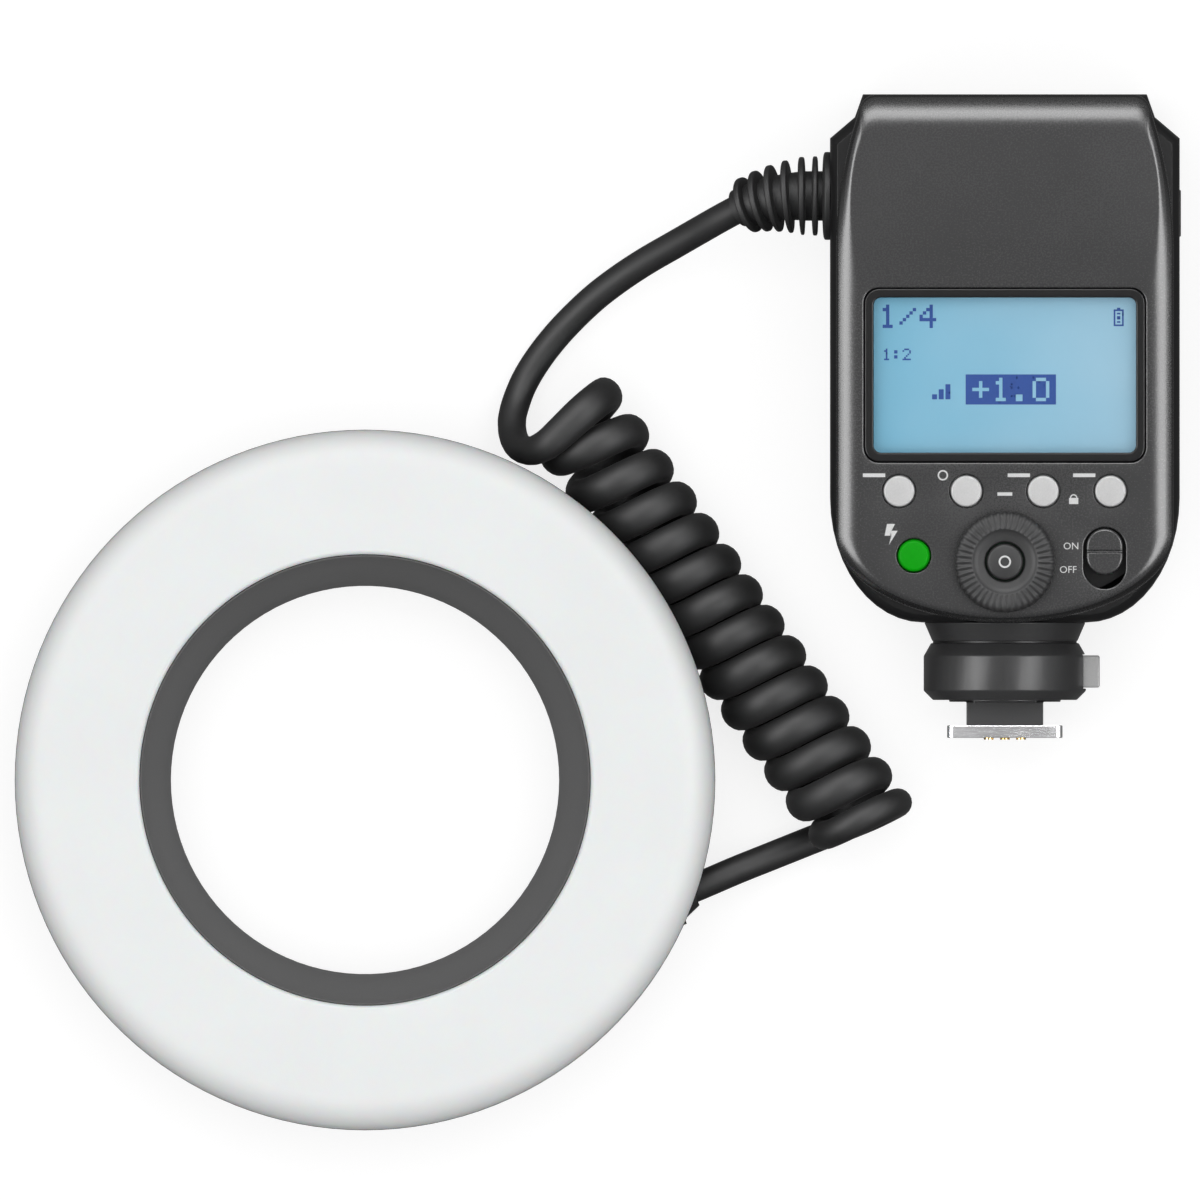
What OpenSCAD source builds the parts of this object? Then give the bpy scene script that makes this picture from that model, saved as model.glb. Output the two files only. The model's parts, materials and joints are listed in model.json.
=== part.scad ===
// Macro ring flash lying on a table: a ring head that clips round a lens, a control unit with a
// display, keys, dial and accessory foot, and the curly cord between them. Millimetres, +Z up,
// origin on the ring's axis at the head's rear face.

/* [Ring head] */
// Diameter of the head over its rim
ring_d = 113; // [110:0.5:116]
// Diameter of the bore that the lens looks through
bore_d = 62.6; // [58:0.2:64]
// Diameter where the white diffuser meets the dark cone
mouth_d = 72.6; // [70:0.2:76]
// Diameter of the narrower rear housing
back_d = 102; // [99:0.5:103]
// Depth of the head from its rear face to the diffuser's face
head_h = 26; // [25:0.5:30]
// Height of the rim's underside above the rear face
rim_z = 16.6; // [15.6:0.1:17.2]
// Thickness of the rim that carries the diffuser
rim_t = 1.9; // [1.4:0.1:2.4]
// Wall of the rear housing
head_wall = 1.8; // [1.4:0.1:2.2]
// Wall of the diffuser
diffuser_wall = 2; // [1.4:0.1:2.6]
// Radius of the diffuser's outer edge
diffuser_edge_r = 5; // [3:0.1:6]
// Height at which the cone stands on the bore's wall
cone_z = 14; // [12:0.5:16]
// Radius of a flash tube's glass
tube_r = 1.75; // [1.4:0.05:2]

/* [Adapter latches] */
// How much wider than the bore the adapter's seat is, on the radius
seat_step = 2.7; // [2.2:0.1:3.2]
// Thickness of the cover over the latches
cover_t = 1.4; // [1.2:0.1:1.8]
// Thickness of a latch plate
latch_t = 0.9; // [0.7:0.05:1.1]
// Travel of a latch
latch_travel = 1.5; // [1:0.1:1.8]
// Width of a latch plate's ring
latch_w = 4.5; // [3.5:0.1:5]
// Width of the arm that carries a latch's push cap
arm_w = 9; // [7:0.5:11]

/* [Control unit] */
// Distance of the unit's middle from the ring's axis, sideways
unit_x = 103.2; // [100:0.2:110]
// Distance of the unit's lower edge from the ring's axis, lengthways
unit_y = 25.4; // [20:0.2:32]
// Width of the housing beside the display's field, at each side
unit_side = 7.05; // [6.9:0.05:9]
// Length of the unit's housing
unit_l = 85.2; // [84:0.2:92]
// Depth of the unit
unit_h = 42; // [41:0.5:48]
// Height of the seam between the two housing shells
seam_z = 30; // [29.5:0.1:31]
// How far the raised face lies inside the housing at each side
panel_in = 1; // [0.5:0.05:1.2]
// Wall of the housing shells
shell_wall = 2; // [1.6:0.1:2.2]

/* [Display] */
// Width of the display's visible field
lcd_w = 42.3; // [38:0.1:42.6]
// Height of the display's visible field
lcd_l = 25; // [22:0.1:25.4]
// Width of the frame round the visible field
bezel_w = 1.5; // [1.2:0.1:1.6]
// Distance of the display's field from the unit's lower edge
lcd_low = 27.4; // [27.2:0.1:29.4]

/* [Controls] */
// Diameter of a function key
key_d = 5; // [4:0.1:5.2]
// Distance of the keys from the middle, inner pair
key_inner_x = 6.2; // [5.8:0.1:7]
// Distance of the outer keys from the end of the display's field
key_in = 4.1; // [4.05:0.05:5.1]
// Distance of the key row from the unit's lower edge
key_y = 21.2; // [20.6:0.1:21.2]
// Travel of a key
key_travel = 0.7; // [0.4:0.05:0.8]
// Diameter of the round test button
test_d = 5.1; // [4:0.1:5.4]
// Diameter of the ribbed dial
dial_d = 16.4; // [14:0.1:17]
// Height of the dial's rim
dial_h = 2.1; // [1.6:0.1:3]
// Number of ribs on the dial
dial_ribs = 44; // [24:1:48]
// Diameter of the button in the dial's middle
set_d = 5.8; // [5:0.1:6]
// Width of the power slider's knob
slider_w = 5.9; // [5:0.1:6.2]
// Length of the power slider's knob
slider_l = 7.4; // [6.4:0.1:7.8]
// Travel of the power slider
slider_travel = 2.1; // [1.2:0.1:2.3]

/* [Battery] */
// Distance of the battery pack from the unit's lower edge
pack_low = 24.6; // [24:0.1:27]
// Room between the battery pack and the flash capacitor
pack_to_cap = 6.3; // [5:0.1:9]
// Room between the battery pack and the chassis above it
pack_room = 2; // [1.5:0.1:5]

/* [Foot] */
// Width of the foot's plate
foot_w = 18.6; // [18.3:0.05:18.75]
// Length of the foot's plate
foot_l = 18; // [17:0.1:19]
// Thickness of the foot's plate
foot_t = 2; // [1.9:0.05:2.1]
// Width of the post between the shoe's rails
post_w = 12.4; // [11.8:0.1:12.6]
// Diameter of the lock collar
collar_d = 26.2; // [25:0.1:27]
// Height of the foot's axis above the table
foot_z = 17; // [16.5:0.1:18]
// Travel of the lock pin
pin_travel = 1.5; // [1:0.1:1.6]

/* [Cord] */
// Diameter of the cord
cord_d = 4.6; // [4:0.1:4.8]
// Radius of a curl, to the cord's centre
curl_r = 6.45; // [6:0.05:6.6]
// Advance of one curl
curl_pitch = 6; // [5.8:0.05:6.1]
// Number of whole curls
curls = 13; // [8:1:13]

/* [Hidden] */
$fn = 72;

// Clearances
fit = 0.1;      // between pieces of one body that slip together
run = 0.3;      // between pieces that move past each other
over = 1;       // how far a cutter runs past the wall that it cuts

// Ring head, radii and heights
ring_r = ring_d / 2;
bore_r = bore_d / 2;
mouth_r = mouth_d / 2;
back_r = back_d / 2;
inner_back_r = back_r - head_wall;
seat_r = bore_r + seat_step;
latch_gap = 0.2;
latch_upper_z = cover_t + latch_gap;
latch_lower_z = latch_upper_z + latch_t + latch_gap;
back_z = latch_lower_z + latch_t + latch_gap;
floor_z = back_z + head_wall;
rim_top = rim_z + rim_t;
cove_r = 2.5;
rim_show = 0.4;
diffuser_r = ring_r - rim_show;
lip_w = 0.8;
lip_drop = 0.8;
mouth_z = head_h - lip_drop;

// Adapter latches
hook_reach = 1.6;
hook_r = seat_r - hook_reach;
hook_w = 12;
latch_in_r = seat_r + latch_travel + run;
latch_out_r = latch_in_r + latch_w;
cap_in_r = back_r + latch_travel + run;
cap_t = 2.2;
cap_w = 14;
cap_h = 5.5;
lug_w = 4.4;
lug_t = 1.2;
lug_in = 2.6;
lug_y = inner_back_r - lug_in;
stop_t = 1.2;
stop_in = 0.7;
stop_y = latch_out_r + latch_travel + fit;
spring_x = arm_w / 2 + lug_w / 2;
spring_z = (latch_upper_z + latch_lower_z + latch_t) / 2;
spring_r = (latch_lower_z + latch_t - latch_upper_z) / 2 - run;
spring_wire = 0.4;
spring_turns = 4;

// Cover screws
screw_ring_r = (latch_out_r + latch_travel + inner_back_r) / 2;
screw_r = 1;
screw_head_r = 1.9;
screw_head_t = 0.7;
screw_post_r = 2.6;
screw_angles = [45, 135, 225, 315];

// Light channel
reflector_t = 0.8;
channel_clear = 0.4;
channel_flare_out = 2.4;
channel_floor_w = 6.9;
channel_flare_in = 1.2;
channel_lift = 3.4;
tube_lift = 4;
channel_out_r = inner_back_r - channel_clear;
channel_floor_out_r = channel_out_r - channel_flare_out;
channel_floor_in_r = channel_floor_out_r - channel_floor_w;
channel_in_r = channel_floor_in_r - channel_flare_in;
channel_z = floor_z + channel_lift;
channel_floor_z = channel_z + reflector_t;
tube_path_r = (channel_floor_in_r + channel_floor_out_r) / 2;
tube_z = channel_floor_z + tube_lift;
tube_gap = 10;
holder_w = 5;
holder_span = 8;
board_t = 1.6;
board_clear = 0.5;
board_from = 200;
board_span = 140;
trigger_in = 1.4;
trigger_w = 9;
trigger_l = 3.4;
trigger_h = 5;
trigger_turn = 40;
trigger_cap_r = 1.8;
trigger_cap_h = 4;

// Cord gland on the head
gland_angle = -23;
gland_turn = 45;
gland_z = 7.2;
gland_boss_r = 4.9;
gland_shank_r = 3.4;
gland_collar_r = 4.1;
gland_root = 6;
gland_out = 3.4;
gland_len = 3;
gland_tip_r = 2.9;
gland_dir = [cos(gland_angle + gland_turn), sin(gland_angle + gland_turn), 0];
gland_at = [back_r * cos(gland_angle), back_r * sin(gland_angle), gland_z];

// Control unit, outlines
unit_w = lcd_w + 2 * unit_side;
half_w = unit_w / 2;
half_panel = half_w - panel_in;
corner_rx = 15;
corner_ry = 20.1;
shoulder_drop = 7.1;
shoulder_in = 4;
crown_half = half_w - 5.3;
crown_drop = 3.7;
panel_ry = 14.3;
panel_straight = 60;
panel_taper = 4;
panel_crown_drop = 1.6;
panel_crown_in = 1.2;

// Rounded edges of the shells: how far the face lies inside the outline at each side
edge_side = 4;
edge_top = 5.5;
edge_bottom = 1.3;
edge_h = 5.5;
foot_edge = 3;
foot_edge_h = 3.5;
seam_edge = 1.2;
seam_edge_h = 2.4;
edge_steps = 8;

// Cavities
face_in_z = unit_h - shell_wall;
cavity_side = edge_side / 4 + shell_wall + 2 * fit;
cavity_top = edge_top / 4 + shell_wall + 2 * fit;
cavity_bottom = edge_bottom / 4 + shell_wall + fit;
deck_t = 2.4;

// Boards and fasteners
board_drop = 6;
board_z = face_in_z - board_drop;
board_top = board_z + board_t;
chassis_drop = 10;
chassis_z = board_z - chassis_drop;
chassis_t = 1.6;
cable_slot_w = 10;
cable_slot_l = 24;
post_r = 2.8;
boss_r = 2;
shell_screw_r = 0.95;
shell_screw_head_r = 1.8;
shell_screw_head_t = 1.6;
counterbore_z = 12;
screw_bite = 2;

// Display stack
lcd_y = lcd_low + lcd_l / 2;
bezel_sink = 0.3;
bezel_flange = 1;
bezel_flange_t = 1.1;
window_lip = 0.7;
window_t = bezel_flange_t + 0.4;
bezel_r = 2.4;
lcd_r = 1.2;
module_margin = 2.1;

// Keys
key_flange = 0.4;
key_flange_t = 1.1;
key_proud = 0.9;
mat_t = 0.8;
dome_r = 2.2;
dome_gap = 0.2;
key_clear = 0.2;
key_outer_x = lcd_w / 2 - key_in;
key_xs = [-key_outer_x, -key_inner_x, key_inner_x, key_outer_x];
test_in = 2.39;
test_y = 10.8;
test_at = [test_in - key_outer_x, test_y];
mat_edge = 0.5;
mat_tongue = 3;
dome_taper = 0.6;

// Dial and the button in its middle
dial_at = [0, 9.8];
hub_r = set_d / 2 + run + 1;
set_proud = 0.6;
set_travel = 0.6;
set_stem_r = 2.2;
encoder_wall = 2;
dial_rib_h = 0.4;
dial_rib_in = 5.8;
dial_rib_edge = 0.15;
dial_lip = 0.9;
dial_face_sink = 0.5;
dial_lift = 0.6;

// Power slider
slider_in = 0.95;
slider_y = 10.4;
slider_at = [key_outer_x - slider_in, slider_y];
slot_clear = 0.45;
slot_end = 0.2;
slot_w = slider_w + 2 * slot_clear;
slot_l = slider_l + slider_travel + 2 * slot_end;
slider_proud = 0.6;
slider_sink = 0.4;
slider_groove = 0.5;
slider_groove_h = 0.4;
slider_stem = 2;
slider_stem_l = 2.4;
slider_stem_h = 2.5;
switch_margin = 0.3;
switch_low = 2;
switch_high = 4.6;
switch_lid_t = 0.6;

// Battery bay
cap_in = 2.3;
pack_lift = 0.5;
pack_z = foot_edge_h + pack_lift;
pack_t = chassis_z - pack_z - pack_room;
cap_d = pack_t;
cap_l = 34;
cap_y = unit_l - shell_wall - cap_in - cap_d / 2;
pack_high = cap_y - cap_d / 2 - pack_to_cap;
pack_w = pack_high - pack_low;
pack_y = (pack_low + pack_high) / 2;
pack_back = 6.5;
pack_left = pack_back - half_w;
pack_strip_in = 3;
pack_strip_w = 2;

// Posts of the housing screws: the upper pair clears the battery bay and the display
upper_post_off = 4;
lower_post_off = 6.8;
upper_post_in = 6.7;
lower_post_in = 5.6;
upper_post_x = half_panel - upper_post_in;
lower_post_x = half_panel - lower_post_in;
lcd_high = lcd_y + lcd_l / 2 + module_margin;
upper_post_y = max(pack_high + upper_post_off, lcd_high + boss_r + run);
lower_post_y = pack_low - lower_post_off;
posts = [
    [-upper_post_x, upper_post_y], [upper_post_x, upper_post_y],
    [-lower_post_x, lower_post_y], [lower_post_x, lower_post_y]
];

// Battery rails, contacts, grip and release
rail_w = 1.2;
blade_pitch = 7;
blade_w = 2.4;
blade_low = 4;
blade_high = 10;
pack_grip_w = 1.4;
pack_grip_depth = 0.7;
pack_grip_in = 3;
release_in = 9.4;
release_y = pack_high + release_in;
release_z = 13;
release_w = 7.6;
release_t = 3.6;
release_proud = 0.2;
release_clear = 0.2;
release_flange = 0.8;
release_flange_t = 1;

// Power board and transformer
power_board_w = 30;
power_board_l = 17;
power_board_y = 3.6;
power_board_lift = 3;
power_board_z = shell_wall + power_board_lift;
core_w = 14;
core_l = 11;
core_t = 2.4;
core_h = 10.4;
winding_w = 10;
winding_l = 8;
standoff_r = 1.5;
standoff_in = 2.5;

// Foot, measured down its axis from the housing
neck_r = 13;
neck_tip_r = 11.7;
neck_l = 3;
spigot_r = 9;
collar_gap = 0.3;
collar_top_in = 1.2;
collar_bottom_in = 1.5;
collar_top_r = collar_d / 2 - collar_top_in;
collar_bottom_r = collar_d / 2 - collar_bottom_in;
collar_l = 9.2;
collar_bevel = 2.1;
collar_foot_bevel = 1.5;
post_start = neck_l + collar_gap + collar_l + collar_gap;
post_l = 3.8;
post_depth = 15;
plate_at = post_start + post_l;
plate_end = plate_at + foot_t;
pin_r = 1.05;
pin_y = 5;
pin_clear = 0.15;
pin_guide = 1.9;
pin_top = post_start - pin_guide - pin_travel;
pin_sink = 0.2;
tab_w = 5.2;
tab_depth = 6;
tab_proud = 2.2;
tab_travel = 1.2;
tab_root = 1.7;
tab_in = collar_d / 2 - tab_root;
block_w = 8.4;
block_back = -6.2;
block_front = 2.6;
contact_r = 0.8;
contact_proud = 0.3;
contact_places = [[0, -1.8], [-2.6, -4.8], [2.6, -4.8], [-2.6, 1.2], [2.6, 1.2]];

// Strain relief boot on the unit's left side
boot_y = 68.8;
boot_z = 21;
boot_base_r = 7.1;
boot_ring_t = 1.2;
boot_spigot_r = 4;
boot_groove = 0.7;
boot_ribs = 5;
boot_rib_t = 1.3;
boot_rib_edge = 0.25;
boot_sides = 16;
boot_rib_r = 6.3;
boot_rib_end_r = 4.6;
boot_core_r = 4;
boot_core_end_r = 3.1;
boot_bend = 34;
boot_bend_r = 19;
boot_start = 4;
boot_out = [-1, 0, 0];
boot_sag = unit([0, -0.61, -0.79]);
boot_len = boot_bend_r * boot_bend * PI / 180;

// Curly cord: its axis in plan, its opening first curls and its raised last ones
cord_r = cord_d / 2;
cord_sides = 8;
curl_sides = 6;
curl_rings = 8;
axis_dir = [0.58, -0.815, 0];
axis_side = [0.815, 0.58, 0];
axis_off = 61.45;
first_tip = -28.5;
curl_open = 3.5;
curl_open_turns = 1.4;
curl_from = -0.25;
curl_to = curls + 0.25;
first_band = 18;
first_band_to = 0.15;
last_band = 22.7;
last_band_from = curls - 0.1;
table_gap = 0.05;
first_lift = 2.2;
first_lift_to = 0.35;
first_lift_turns = first_lift_to - curl_from;
last_lift = 4;
last_lift_from = curls - 3;
last_lift_turns = 2.2;

// The cord's free routes: from the boot to the first curl, and from the last curl to the head
upper_route = [
    [57, 90.4, 16.4], [53.5, 88.4, 13.8], [49.5, 86.1, 11.2], [45.5, 83.8, 8.9], [41.5, 81.2, 6.9],
    [37.5, 78.2, 5.2], [34, 75, 3.9], [30.8, 71.6, 3], [28, 68, 2.6], [25.8, 64.4, 2.8],
    [24.4, 61, 3.8], [23.7, 58, 5.6], [24, 55.2, 8.2], [25.2, 53.5, 11.4], [27.4, 53.2, 14.8]
];
lower_route = [
    [72, -9.7, 2.6], [68, -11.3, 3.4], [64, -12.9, 4.6], [60, -14.5, 6]
];

// Points and small helpers
function smooth(x) = let (q = min(1, max(0, x))) q * q * (3 - 2 * q);
function unit(v) = v / norm(v);
function arc(c, rx, ry, from, to, n) =
    [for (i = [0:n]) let (a = from + (to - from) * i / n) c + [rx * cos(a), ry * sin(a)]];
function mirrored(pts) = [for (i = [len(pts) - 1:-1:0]) [-pts[i].x, pts[i].y]];
function rounded(w, l, r) = concat(
    arc([w / 2 - r, -l / 2 + r], r, r, -90, 0, 6), arc([w / 2 - r, l / 2 - r], r, r, 0, 90, 6),
    arc([-w / 2 + r, l / 2 - r], r, r, 90, 180, 6), arc([-w / 2 + r, -l / 2 + r], r, r, 180, 270, 6));

// Right half of an outline runs up from the bottom, and the left half is its mirror image
body_half = concat(
    arc([half_w - corner_rx, corner_ry], corner_rx, corner_ry, -90, 0, 12),
    [[half_w, unit_l - shoulder_drop], [half_w - shoulder_in, unit_l - crown_drop],
     [crown_half, unit_l]]);
panel_half = concat(
    arc([0, panel_ry], half_panel, panel_ry, -88, 0, 16),
    [for (i = [0:6]) let (q = i / 6)
        [half_panel - panel_taper * q * q,
         panel_straight + (unit_l - panel_crown_drop - panel_straight) * q]],
    [[half_panel - panel_taper - panel_crown_in, unit_l]]);
body_outline = concat(body_half, mirrored(body_half));
panel_outline = concat(panel_half, mirrored(panel_half));

// An outline drawn in at its sides, bottom and top
function drawn_in(pts, half, side, bottom, top) = [
    for (p = pts) [p.x * (half - side) / half, bottom + p.y * (unit_l - bottom - top) / unit_l]];

// Faces of a skin over m rings of n points each, closed by a flat cap at either end
function skin_faces(n, m) = concat(
    [for (i = [1:n - 2]) [0, i, i + 1]],
    [for (k = [0:m - 2]) for (i = [0:n - 1]) [k * n + i, (k + 1) * n + i, k * n + (i + 1) % n]],
    [for (k = [0:m - 2]) for (i = [0:n - 1])
        [k * n + (i + 1) % n, (k + 1) * n + i, (k + 1) * n + (i + 1) % n]],
    [for (i = [1:n - 2]) [(m - 1) * n, (m - 1) * n + i + 1, (m - 1) * n + i]]);

// Solid through a stack of outlines; each layer is [height, points]
module loft(layers) {
    polyhedron(
        points = [for (l = layers) for (p = l[1]) [p.x, p.y, l[0]]],
        faces = skin_faces(len(layers[0][1]), len(layers)), convexity = 4);
}

// Tube of n sides along a line, with one radius or one for each point; the first ring's side is
// carried along the line
function tangents(line) = [
    for (i = [0:len(line) - 1])
        unit(line[min(i + 1, len(line) - 1)] - line[max(i - 1, 0)])];
function carried(side, tangent) = unit(side - (side * tangent) * tangent);
function sides_along(tans, side, i = 0) =
    i == len(tans) ? [] : let (s = carried(side, tans[i])) concat([s], sides_along(tans, s, i + 1));
module tube(line, tans, r, n, first_side) {
    sides = sides_along(tans, first_side);
    radii = is_list(r) ? r : [for (p = line) r];
    polyhedron(
        points = [for (k = [0:len(line) - 1]) for (i = [0:n - 1]) let (a = 360 * i / n)
            line[k] + radii[k] * (cos(a) * sides[k] + sin(a) * cross(tans[k], sides[k]))],
        faces = skin_faces(n, len(line)), convexity = 10);
}

// Frames of the control unit and of its foot, whose axis runs down from the housing
module at_unit() { translate([unit_x, unit_y, 0]) children(); }
module at_foot() { at_unit() translate([0, 0, foot_z]) rotate([90, 0, 0]) children(); }
module drum(r, z0, z1) { translate([0, 0, z0]) cylinder(r = r, h = z1 - z0); }
module cone(r0, r1, z0, z1) { translate([0, 0, z0]) cylinder(r1 = r0, r2 = r1, h = z1 - z0); }
module slab(x0, x1, y0, y1, z0, z1) { translate([x0, y0, z0]) cube([x1 - x0, y1 - y0, z1 - z0]); }
module plate(pts, z0, z1) { translate([0, 0, z0]) linear_extrude(z1 - z0) polygon(pts); }
module stadium(w, l, z0, z1) {
    for (s = [-1, 1]) translate([0, s * (l - w) / 2, 0]) drum(w / 2, z0, z1);
    slab(-w / 2, w / 2, -(l - w) / 2, (l - w) / 2, z0, z1);
}

// Ring head: rear housing with the bore's wall, the rim's flange and the latches' stops
module head_housing() {
    color([0.13, 0.13, 0.13]) {
        difference() {
            union() {
                rotate_extrude() polygon(concat(
                    [[inner_back_r, 0], [back_r, 0]],
                    arc([back_r + cove_r, rim_z - cove_r], cove_r, cove_r, 180, 90, 6),
                    [[ring_r, rim_z], [ring_r, rim_top], [inner_back_r, rim_top],
                     [inner_back_r, floor_z], [bore_r + head_wall, floor_z],
                     [bore_r + head_wall, cone_z], [bore_r, cone_z], [bore_r, back_z],
                     [inner_back_r, back_z]]));
                for (a = screw_angles)
                    rotate(a) translate([screw_ring_r, 0, 0])
                        drum(screw_post_r, cover_t, back_z + head_wall / 2);
                for (a = [0, 180])
                    rotate(a) slab(arm_w / 2 + stop_in, arm_w / 2 + lug_w - run, stop_y, stop_y + stop_t,
                        latch_upper_z, back_z + head_wall / 2);
                difference() {
                    gland_axis() drum(gland_boss_r, -gland_root, gland_out);
                    drum(inner_back_r + head_wall / 2, -over, rim_z);
                }
            }
            for (a = [0, 180])
                rotate(a) slab(-arm_w / 2 - run, arm_w / 2 + run, inner_back_r - over, back_r + over,
                    cover_t, back_z);
            for (a = screw_angles)
                rotate(a) translate([screw_ring_r, 0, 0])
                    drum(screw_r + fit / 2, -over, back_z + head_wall / 2);
            gland_axis() drum(gland_shank_r + fit / 2, -gland_root - over, gland_out + over);
        }
    }
}

module gland_axis() {
    translate(gland_at) rotate([0, 90, gland_angle + gland_turn]) children();
}

module head_gland() {
    color([0.11, 0.11, 0.11]) {
        difference() {
            gland_axis() drum(gland_shank_r, -gland_root, gland_out);
            drum(inner_back_r, -over, rim_z);
        }
        gland_axis() cone(gland_collar_r, gland_tip_r, gland_out, gland_out + gland_len);
    }
}

module inner_cone() {
    color([0.27, 0.27, 0.27])
        rotate_extrude() polygon([
            [bore_r, cone_z], [bore_r + head_wall, cone_z], [mouth_r, mouth_z - 2],
            [mouth_r, mouth_z], [mouth_r - lip_w, mouth_z]]);
}

// White cover: a skirt with a rounded shoulder, a flat face and a short inner skirt
module diffuser() {
    inner_r = mouth_r + fit;
    inner_edge = 0.8;
    shoulder = max(diffuser_edge_r - diffuser_wall, 0.4);
    color([0.92, 0.92, 0.92])
        rotate_extrude() polygon(concat(
            [[diffuser_r - diffuser_wall, rim_top], [diffuser_r, rim_top]],
            arc([diffuser_r - diffuser_edge_r, head_h - diffuser_edge_r],
                diffuser_edge_r, diffuser_edge_r, 0, 90, 8),
            arc([inner_r + inner_edge, head_h - inner_edge], inner_edge, inner_edge, 90, 180, 3),
            [[inner_r, mouth_z - 3.6], [inner_r + diffuser_wall, mouth_z - 3.6],
             [inner_r + diffuser_wall, head_h - diffuser_wall]],
            arc([diffuser_r - diffuser_wall - shoulder, head_h - diffuser_wall - shoulder],
                shoulder, shoulder, 90, 0, 6)));
}

// Bright channel behind the tubes, hung by its lip on the rim's flange
module reflector() {
    color([0.8, 0.8, 0.82])
        rotate_extrude() polygon([
            [channel_floor_in_r, channel_z], [channel_floor_out_r, channel_z],
            [channel_out_r, rim_top], [diffuser_r - diffuser_wall - run, rim_top],
            [diffuser_r - diffuser_wall - run, rim_top + reflector_t],
            [channel_out_r - reflector_t, rim_top + reflector_t],
            [channel_floor_out_r - reflector_t, channel_floor_z],
            [channel_floor_in_r + reflector_t, channel_floor_z],
            [channel_in_r + reflector_t, rim_top + reflector_t], [channel_in_r, rim_top + reflector_t]]);
}

module flash_tube(from) {
    color([0.85, 0.88, 0.9])
        rotate([0, 0, from + tube_gap]) rotate_extrude(angle = 180 - 2 * tube_gap)
            translate([tube_path_r, tube_z]) circle(tube_r);
}
module flash_tube_a() { flash_tube(0); }
module flash_tube_b() { flash_tube(180); }

module tube_holders() {
    color([0.75, 0.73, 0.68])
        for (a = [tube_gap, 180 - tube_gap, 180 + tube_gap, 360 - tube_gap])
            rotate([0, 0, a - holder_span / 2]) rotate_extrude(angle = holder_span)
                difference() {
                    translate([tube_path_r - holder_w / 2, channel_floor_z])
                        square([holder_w, tube_z + holder_w / 2 - channel_floor_z]);
                    translate([tube_path_r, tube_z]) circle(tube_r + fit / 2);
                }
}

module trigger_board() {
    color([0.1, 0.35, 0.2])
        rotate([0, 0, board_from]) rotate_extrude(angle = board_span)
            translate([bore_r + head_wall + board_clear, floor_z])
                square([channel_floor_in_r - bore_r - head_wall - 2 * board_clear, board_t]);
}

module trigger_parts() {
    at_r = bore_r + head_wall + trigger_in;
    on = floor_z + board_t;
    color([0.75, 0.6, 0.2]) {
        slab(-trigger_w / 2, trigger_w / 2, -at_r - trigger_l, -at_r, on, on + trigger_h);
        for (a = [-trigger_turn, trigger_turn])
            rotate(a) translate([0, -at_r - trigger_cap_r, 0]) drum(trigger_cap_r, on, on + trigger_cap_h);
    }
}

module latch_cover() {
    color([0.15, 0.15, 0.15])
        difference() {
            drum(inner_back_r - fit, 0, cover_t);
            drum(seat_r, -over, cover_t + over);
            for (a = screw_angles) rotate(a) translate([screw_ring_r, 0, 0]) {
                drum(screw_r + fit, -over, cover_t + over);
                drum(screw_head_r + fit, -over, screw_head_t + fit);
            }
        }
}

// Latch: a ring with a hook on one side and, opposite it, an arm with a push cap and a spring lug
module latch(z) {
    color([0.2, 0.2, 0.2]) {
        difference() {
            drum(latch_out_r, z, z + latch_t);
            drum(latch_in_r, z - over, z + latch_t + over);
        }
        intersection() {
            slab(-hook_w / 2, hook_w / 2, -latch_in_r - 1, -hook_r / 2, z, z + latch_t);
            difference() {
                drum(latch_in_r + 1, z - over, z + latch_t + over);
                drum(hook_r, z - 2 * over, z + latch_t + 2 * over);
            }
        }
        slab(-arm_w / 2, arm_w / 2, latch_out_r - 1.5, cap_in_r + cap_t / 2, z, z + latch_t);
        slab(arm_w / 2 - 1, arm_w / 2 + lug_w, lug_y, lug_y + lug_t,
            latch_upper_z, latch_lower_z + latch_t);
        intersection() {
            slab(-cap_w / 2, cap_w / 2, 0, ring_r, z, z + cap_h);
            difference() {
                drum(cap_in_r + cap_t, z - over, z + cap_h + over);
                drum(cap_in_r, z - 2 * over, z + cap_h + 2 * over);
            }
        }
    }
}
module latch_upper() { latch(latch_upper_z); }
module latch_lower() { rotate(180) latch(latch_lower_z); }

// Small coil spring between a housing stop and a latch's lug
module latch_spring() {
    from = stop_y + stop_t + 0.05;
    to = lug_y - 0.05;
    mean = spring_r - spring_wire / 2;
    steps = spring_turns * curl_rings;
    line = [for (i = [0:steps]) let (a = 360 * i / curl_rings)
        [spring_x + mean * cos(a),
         from + spring_wire / 2 + (to - from - spring_wire) * i / steps,
         spring_z + mean * sin(a)]];
    color([0.7, 0.7, 0.72]) tube(line, tangents(line), spring_wire / 2, curl_sides, [1, 0, 0]);
}
module latch_spring_upper() { latch_spring(); }
module latch_spring_lower() { rotate(180) latch_spring(); }

module head_screws() {
    color([0.35, 0.35, 0.37])
        for (a = screw_angles) rotate(a) translate([screw_ring_r, 0, 0]) {
            drum(screw_head_r, fit, screw_head_t + fit);
            drum(screw_r, screw_head_t, back_z + head_wall / 2 - 2 * fit);
        }
}

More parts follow.
